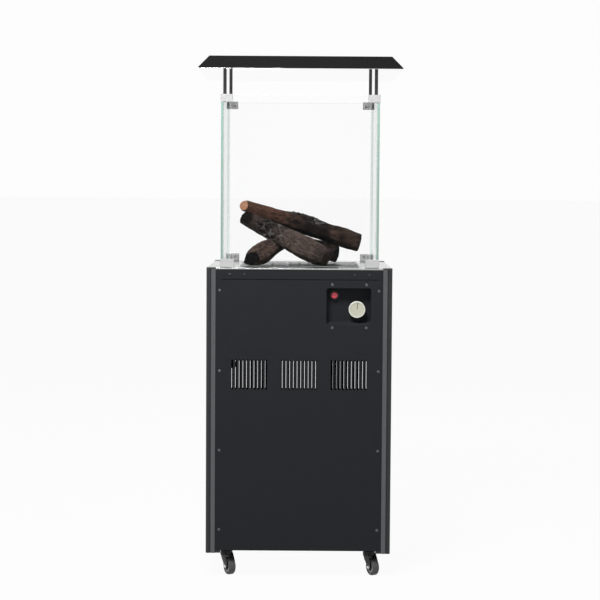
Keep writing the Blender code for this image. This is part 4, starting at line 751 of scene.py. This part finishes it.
LOG_FLOOR = 0.8991
LOG_SPAN = 0.2
LOG_RADIUS = 0.025
LOG_SET = {
    "log_lower_left": {
        "start_shares": (-0.705, -0.65, 0.095),
        "end_shares": (-0.185, 0.275, 0.385),
        "radius_shares": (0.86, 1.12, 1.3, 1.25, 1.1, 1, 0.95, 0.9, 0.85),
    },
    "log_rear": {
        "start_shares": (-0.41, 0.5, 0.385),
        "end_shares": (0.57, 0.24, 0.145),
        "radius_shares": (0.9, 1, 1.03, 1.03, 1.03, 1.03, 1.06, 1.1, 1.06),
    },
    "log_front": {
        "start_shares": (-0.84, 0.25, 0.69),
        "end_shares": (0.39, -0.64, 0.1),
        "radius_shares": (0.87, 0.97, 1.07, 1.15, 1.2, 1.3, 1.4, 1.32, 0.98),
    },
    "log_top": {
        "start_shares": (-0.9, 0.18, 0.888),
        "end_shares": (0.911, 0.27, 0.307),
        "radius_shares": (0.7, 0.75, 0.8, 0.9, 1.04, 1.08, 1.08, 1.14, 1.08),
    },
}
LOG_RINGS = 110
LOG_SIDES = 96
CAP_STEPS = (0.82, 0.6, 0.38, 0.18)
# Number of split faces round a log, and their turn
LOG_FACETS = {
    "log_lower_left": (5, 0.4),
    "log_rear": (6, 0.9),
    "log_front": (5, 1.1),
    "log_top": (6, 0.2),
}
# Where each mark lies along a log: start, end and weight of every span
LOG_ZONES = {
    "log_lower_left": {"char": ((0.72, 1.2, 0.8),), "warm": ((-0.2, 1.2, 0.25),)},
    "log_rear": {"char": ((-0.2, 1.2, 0.85),)},
    "log_front": {
        "char": ((-0.2, 0.17, 1.0), (0.2, 0.46, 1.0), (0.93, 1.2, 0.6)),
        "ash": ((0.28, 0.50, 0.85), (0.5, 0.95, 0.22)),
    },
    "log_top": {
        "char": ((0.36, 1.2, 0.55), (0.42, 0.80, 1.05)),
        "ash": ((0.40, 0.70, 1.2), (0.9, 1.1, 0.6)),
        "warm": ((-0.2, 0.46, 1.0), (0.4, 1.2, 0.6)),
    },
}
ZONE_SOFT = 0.16
# Slant of the first end in radii, how far it is pushed in, and the side it faces
SLANTED_CUT = {
    "log_top": (0.48, 0.40, (0, -1, 0)),
    "log_lower_left": (0.80, 0.0, (0.3, -1, 0.1)),
}
CUT_REACH = 0.16
END_ROUND = 0.0022
END_ROUND_REACH = 0.004
# Span of the flaking bark and how far it stands up
FLAKES = {"log_top": (0.40, 0.66, 0.24)}
FLAKE_SOFT = 0.12
LOG_ENDS = {"log_top": (SAWN, CHARRED), "log_front": (CHARRED, SCORCHED)}


def between(values, share):
    """A smooth value between the evenly spaced values of a list."""
    spot = share * (len(values) - 1)
    i = min(int(spot), len(values) - 2)
    t = spot - i
    t = t * t * (3 - 2 * t)
    return values[i] * (1 - t) + values[i + 1] * t


def clamped(value):
    return min(1.0, max(0.0, value))


def inside(share, spans, soft):
    """The weight of the span that a share lies in, with soft ends."""
    depths = ((weight, min(share - low, high - share)) for low, high, weight in spans)
    return max((weight * clamped(0.5 + depth / soft) for weight, depth in depths), default=0.0)


def facet(angle, sides):
    """Radius of a polygon round a unit circle, halfway between its flats and corners."""
    step = math.tau / sides
    off = (angle % step) - step / 2
    return 0.5 + 0.5 * (math.cos(step / 2) / math.cos(off)) / (0.5 + 0.5 * math.cos(step / 2))


def close_end(shape, row, along, reach, look):
    """Fills an end with rings of uneven points, and marks how far each lies from the middle."""
    middle = sum((vert.co for vert in row), Vector()) / LOG_SIDES
    last = row
    for step in CAP_STEPS:
        ring = []
        for vert in row:
            spot = middle.lerp(vert.co, step)
            bump = 0.0011 * noise.fractal(spot * 90, 0.9, 2.1, 3)
            made = shape.verts.new(spot + along * bump)
            made[reach] = vert[reach] * step
            ring.append(made)
        for j in range(LOG_SIDES):
            k = (j + 1) % LOG_SIDES
            shape.faces.new((last[j], last[k], ring[k], ring[j])).material_index = look
        last = ring
    shape.faces.new(last).material_index = look


def log_piece(name):
    """The log's loft in fine steps, with split faces, knots, long cracks and flaking bark."""
    log = LOG_SET[name]
    start = Vector(log["start_shares"]) * LOG_SPAN + Vector((0, 0, LOG_FLOOR))
    end = Vector(log["end_shares"]) * LOG_SPAN + Vector((0, 0, LOG_FLOOR))
    length = (end - start).length
    along = (end - start).normalized()
    turn = along.to_track_quat("Z", "Y").to_matrix()
    phase = sum(ord(letter) for letter in name)
    shape = bmesh.new()
    layers = shape.verts.layers
    marks = {key: layers.float.new(key) for key in LOG_MARKS}
    reach = layers.float.new("reach")
    grain = layers.float_vector.new("grain")
    sides, twist = LOG_FACETS[name]
    zones = LOG_ZONES[name]
    cut, cut_back, cut_side = SLANTED_CUT.get(name, (0, 0, (0, -1, 0)))
    cut_side = (turn.transposed() @ Vector(cut_side)).normalized()
    flakes = FLAKES.get(name, (0, 0, 0))
    rows = []
    for i in range(LOG_RINGS):
        share = i / (LOG_RINGS - 1)
        row = []
        edge = min(share, 1 - share) * length
        round_off = END_ROUND * max(0.0, 1 - edge / END_ROUND_REACH) ** 2
        for j in range(LOG_SIDES):
            angle = j * math.tau / LOG_SIDES
            lobe = 1.1 * (facet(angle + twist + share * 0.5, sides) - 1)
            lobe += 0.035 * math.sin(3 * angle + phase + share * 2)
            knot = 0.03 * math.sin(5 * angle - phase + share * 9)
            spot = Vector((math.cos(angle), math.sin(angle), 0))
            seed = spot * 1.6 + Vector((0, 0, share * length / 0.035 + phase))
            broad = noise.noise(seed)
            thread = Vector((spot.x * 7, spot.y * 7, share * length / 0.030 + phase * 2))
            flake = noise.fractal(seed * 3.2, 0.9, 2.1, 4)
            crack = max(0.0, 1 - abs(noise.noise(thread)) * 7.0)
            rough = 0.055 * broad + 0.030 * flake - 0.050 * crack
            up = max(0.0, (turn @ spot).z) ** 2
            rough += up * inside(share, (flakes,), FLAKE_SOFT) * (0.8 + 0.8 * flake)
            radius = LOG_RADIUS * between(log["radius_shares"], share) * (1 + lobe + knot + rough)
            radius -= round_off
            slant = 0.10 * (share - 0.5) * math.cos(angle + phase)
            slant += max(0.0, 1 - share / CUT_REACH) * (cut_back + cut * spot.dot(cut_side))
            place = start.lerp(end, share) + along * slant * LOG_RADIUS + turn @ (spot * radius)
            place.z = max(place.z, LOG_FLOOR - 0.0001)
            vert = shape.verts.new(place)
            vert[marks["ridge"]] = clamped(0.5 + 0.5 * flake + 0.3 * broad - 0.6 * crack)
            for key in ("char", "ash", "warm"):
                vert[marks[key]] = inside(share + 0.12 * broad, zones.get(key, ()), ZONE_SOFT)
            if name in FLAKES:
                vert[marks["ash"]] *= min(1.0, 1.4 * up)
            vert[grain] = spot * LOG_RADIUS + Vector((phase, phase, share * length))
            vert[reach] = radius
            row.append(vert)
        rows.append(row)
    for row, after in zip(rows, rows[1:]):
        for j in range(LOG_SIDES):
            k = (j + 1) % LOG_SIDES
            shape.faces.new((row[j], row[k], after[k], after[j]))
    close_end(shape, rows[0], along, reach, 1)
    close_end(shape, rows[-1], along, reach, 2)
    looks = (BARK,) + LOG_ENDS.get(name, (CHARRED, CHARRED))
    keep(f"{name}_shape", shape, looks, "cabinet", (name,), angle=60)


for name in LOG_SET:
    log_piece(name)

# Floor, world and lamps

FLOOR_RADIUS = 200
FLOOR_COLOUR = (0.62, 0.62, 0.62)
FLOOR_SEEN_WHITE = 0.95
FLOOR_HEIGHT = -0.0002
WORLD_LEVEL = 0.24
WORLD_SEEN_LEVEL = 0.98


def seen_rays(tree):
    """1 for rays that look at the surroundings directly, in a mirror or through glass."""
    rays = tree.nodes.new("ShaderNodeLightPath").outputs
    total = rays["Is Camera Ray"]
    for name in ("Is Glossy Ray", "Is Transmission Ray"):
        added = tree.nodes.new("ShaderNodeMath")
        added.operation = "ADD"
        added.use_clamp = name == "Is Transmission Ray"
        tree.links.new(total, added.inputs[0])
        tree.links.new(rays[name], added.inputs[1])
        total = added.outputs[0]
    return total


def glow(name, colour, share):
    """A diffuse colour that is seen partly as plain white, so that only a soft shadow is left."""
    made = Nodes(name)
    inputs, tree = made.shader.inputs, made.tree
    inputs["Roughness"].default_value = 1.0
    inputs["Specular IOR Level"].default_value = 0.0
    soft = made.grain(3)
    made.feed(inputs["Base Color"], made.blend(soft, shade(colour, 0.99), shade(colour, 1.0)))
    light = made.add("ShaderNodeEmission", {"Color": (1, 1, 1, 1), "Strength": 1.0})
    mix = made.add("ShaderNodeMixShader")
    made.feed(mix.inputs[0], made.math("MULTIPLY", seen_rays(tree), share))
    tree.links.new(made.shader.outputs[0], mix.inputs[1])
    tree.links.new(light.outputs[0], mix.inputs[2])
    tree.links.new(mix.outputs[0], tree.nodes["Material Output"].inputs["Surface"])
    return made.material


floor_shape = bmesh.new()
bmesh.ops.create_circle(floor_shape, cap_ends=True, segments=96, radius=FLOOR_RADIUS)
floor_mesh = bpy.data.meshes.new("studio_floor")
floor_shape.to_mesh(floor_mesh)
floor_shape.free()
floor_mesh.materials.append(glow("studio_floor", FLOOR_COLOUR, FLOOR_SEEN_WHITE))
floor = bpy.data.objects.new("studio_floor", floor_mesh)
floor.location.z = FLOOR_HEIGHT
bpy.context.scene.collection.objects.link(floor)

world = bpy.data.worlds.new("studio")
world.use_nodes = True
bpy.context.scene.world = world
tree = world.node_tree
tree.nodes.clear()
strength = tree.nodes.new("ShaderNodeMapRange")
strength.inputs["To Min"].default_value = WORLD_LEVEL
strength.inputs["To Max"].default_value = WORLD_SEEN_LEVEL
tree.links.new(seen_rays(tree), strength.inputs["Value"])
background = tree.nodes.new("ShaderNodeBackground")
background.inputs["Color"].default_value = (1, 1, 1, 1)
tree.links.new(strength.outputs["Result"], background.inputs["Strength"])
output = tree.nodes.new("ShaderNodeOutputWorld")
tree.links.new(background.outputs[0], output.inputs["Surface"])


def lamp(name, place, aim, size, power):
    data = bpy.data.lights.new(name, "AREA")
    data.shape = "RECTANGLE"
    data.size, data.size_y = size
    data.energy = power
    thing = bpy.data.objects.new(name, data)
    thing.matrix_world = Matrix.Translation(place) @ facing(Vector(place) - Vector(aim))
    bpy.context.scene.collection.objects.link(thing)


lamp("key", (-0.4, -1.6, 2.65), (0, 0, 0.8), (0.6, 0.5), 62)
lamp("left", (-3.2, -1.8, 2.3), (0, 0, 0.9), (1.8, 2.2), 24)
lamp("right", (3.4, -1.6, 2.2), (0, 0, 0.9), (1.8, 2.2), 22)
lamp("rear", (0.4, 3.4, 2.8), (0, 0, 0.9), (2.4, 2.0), 34)
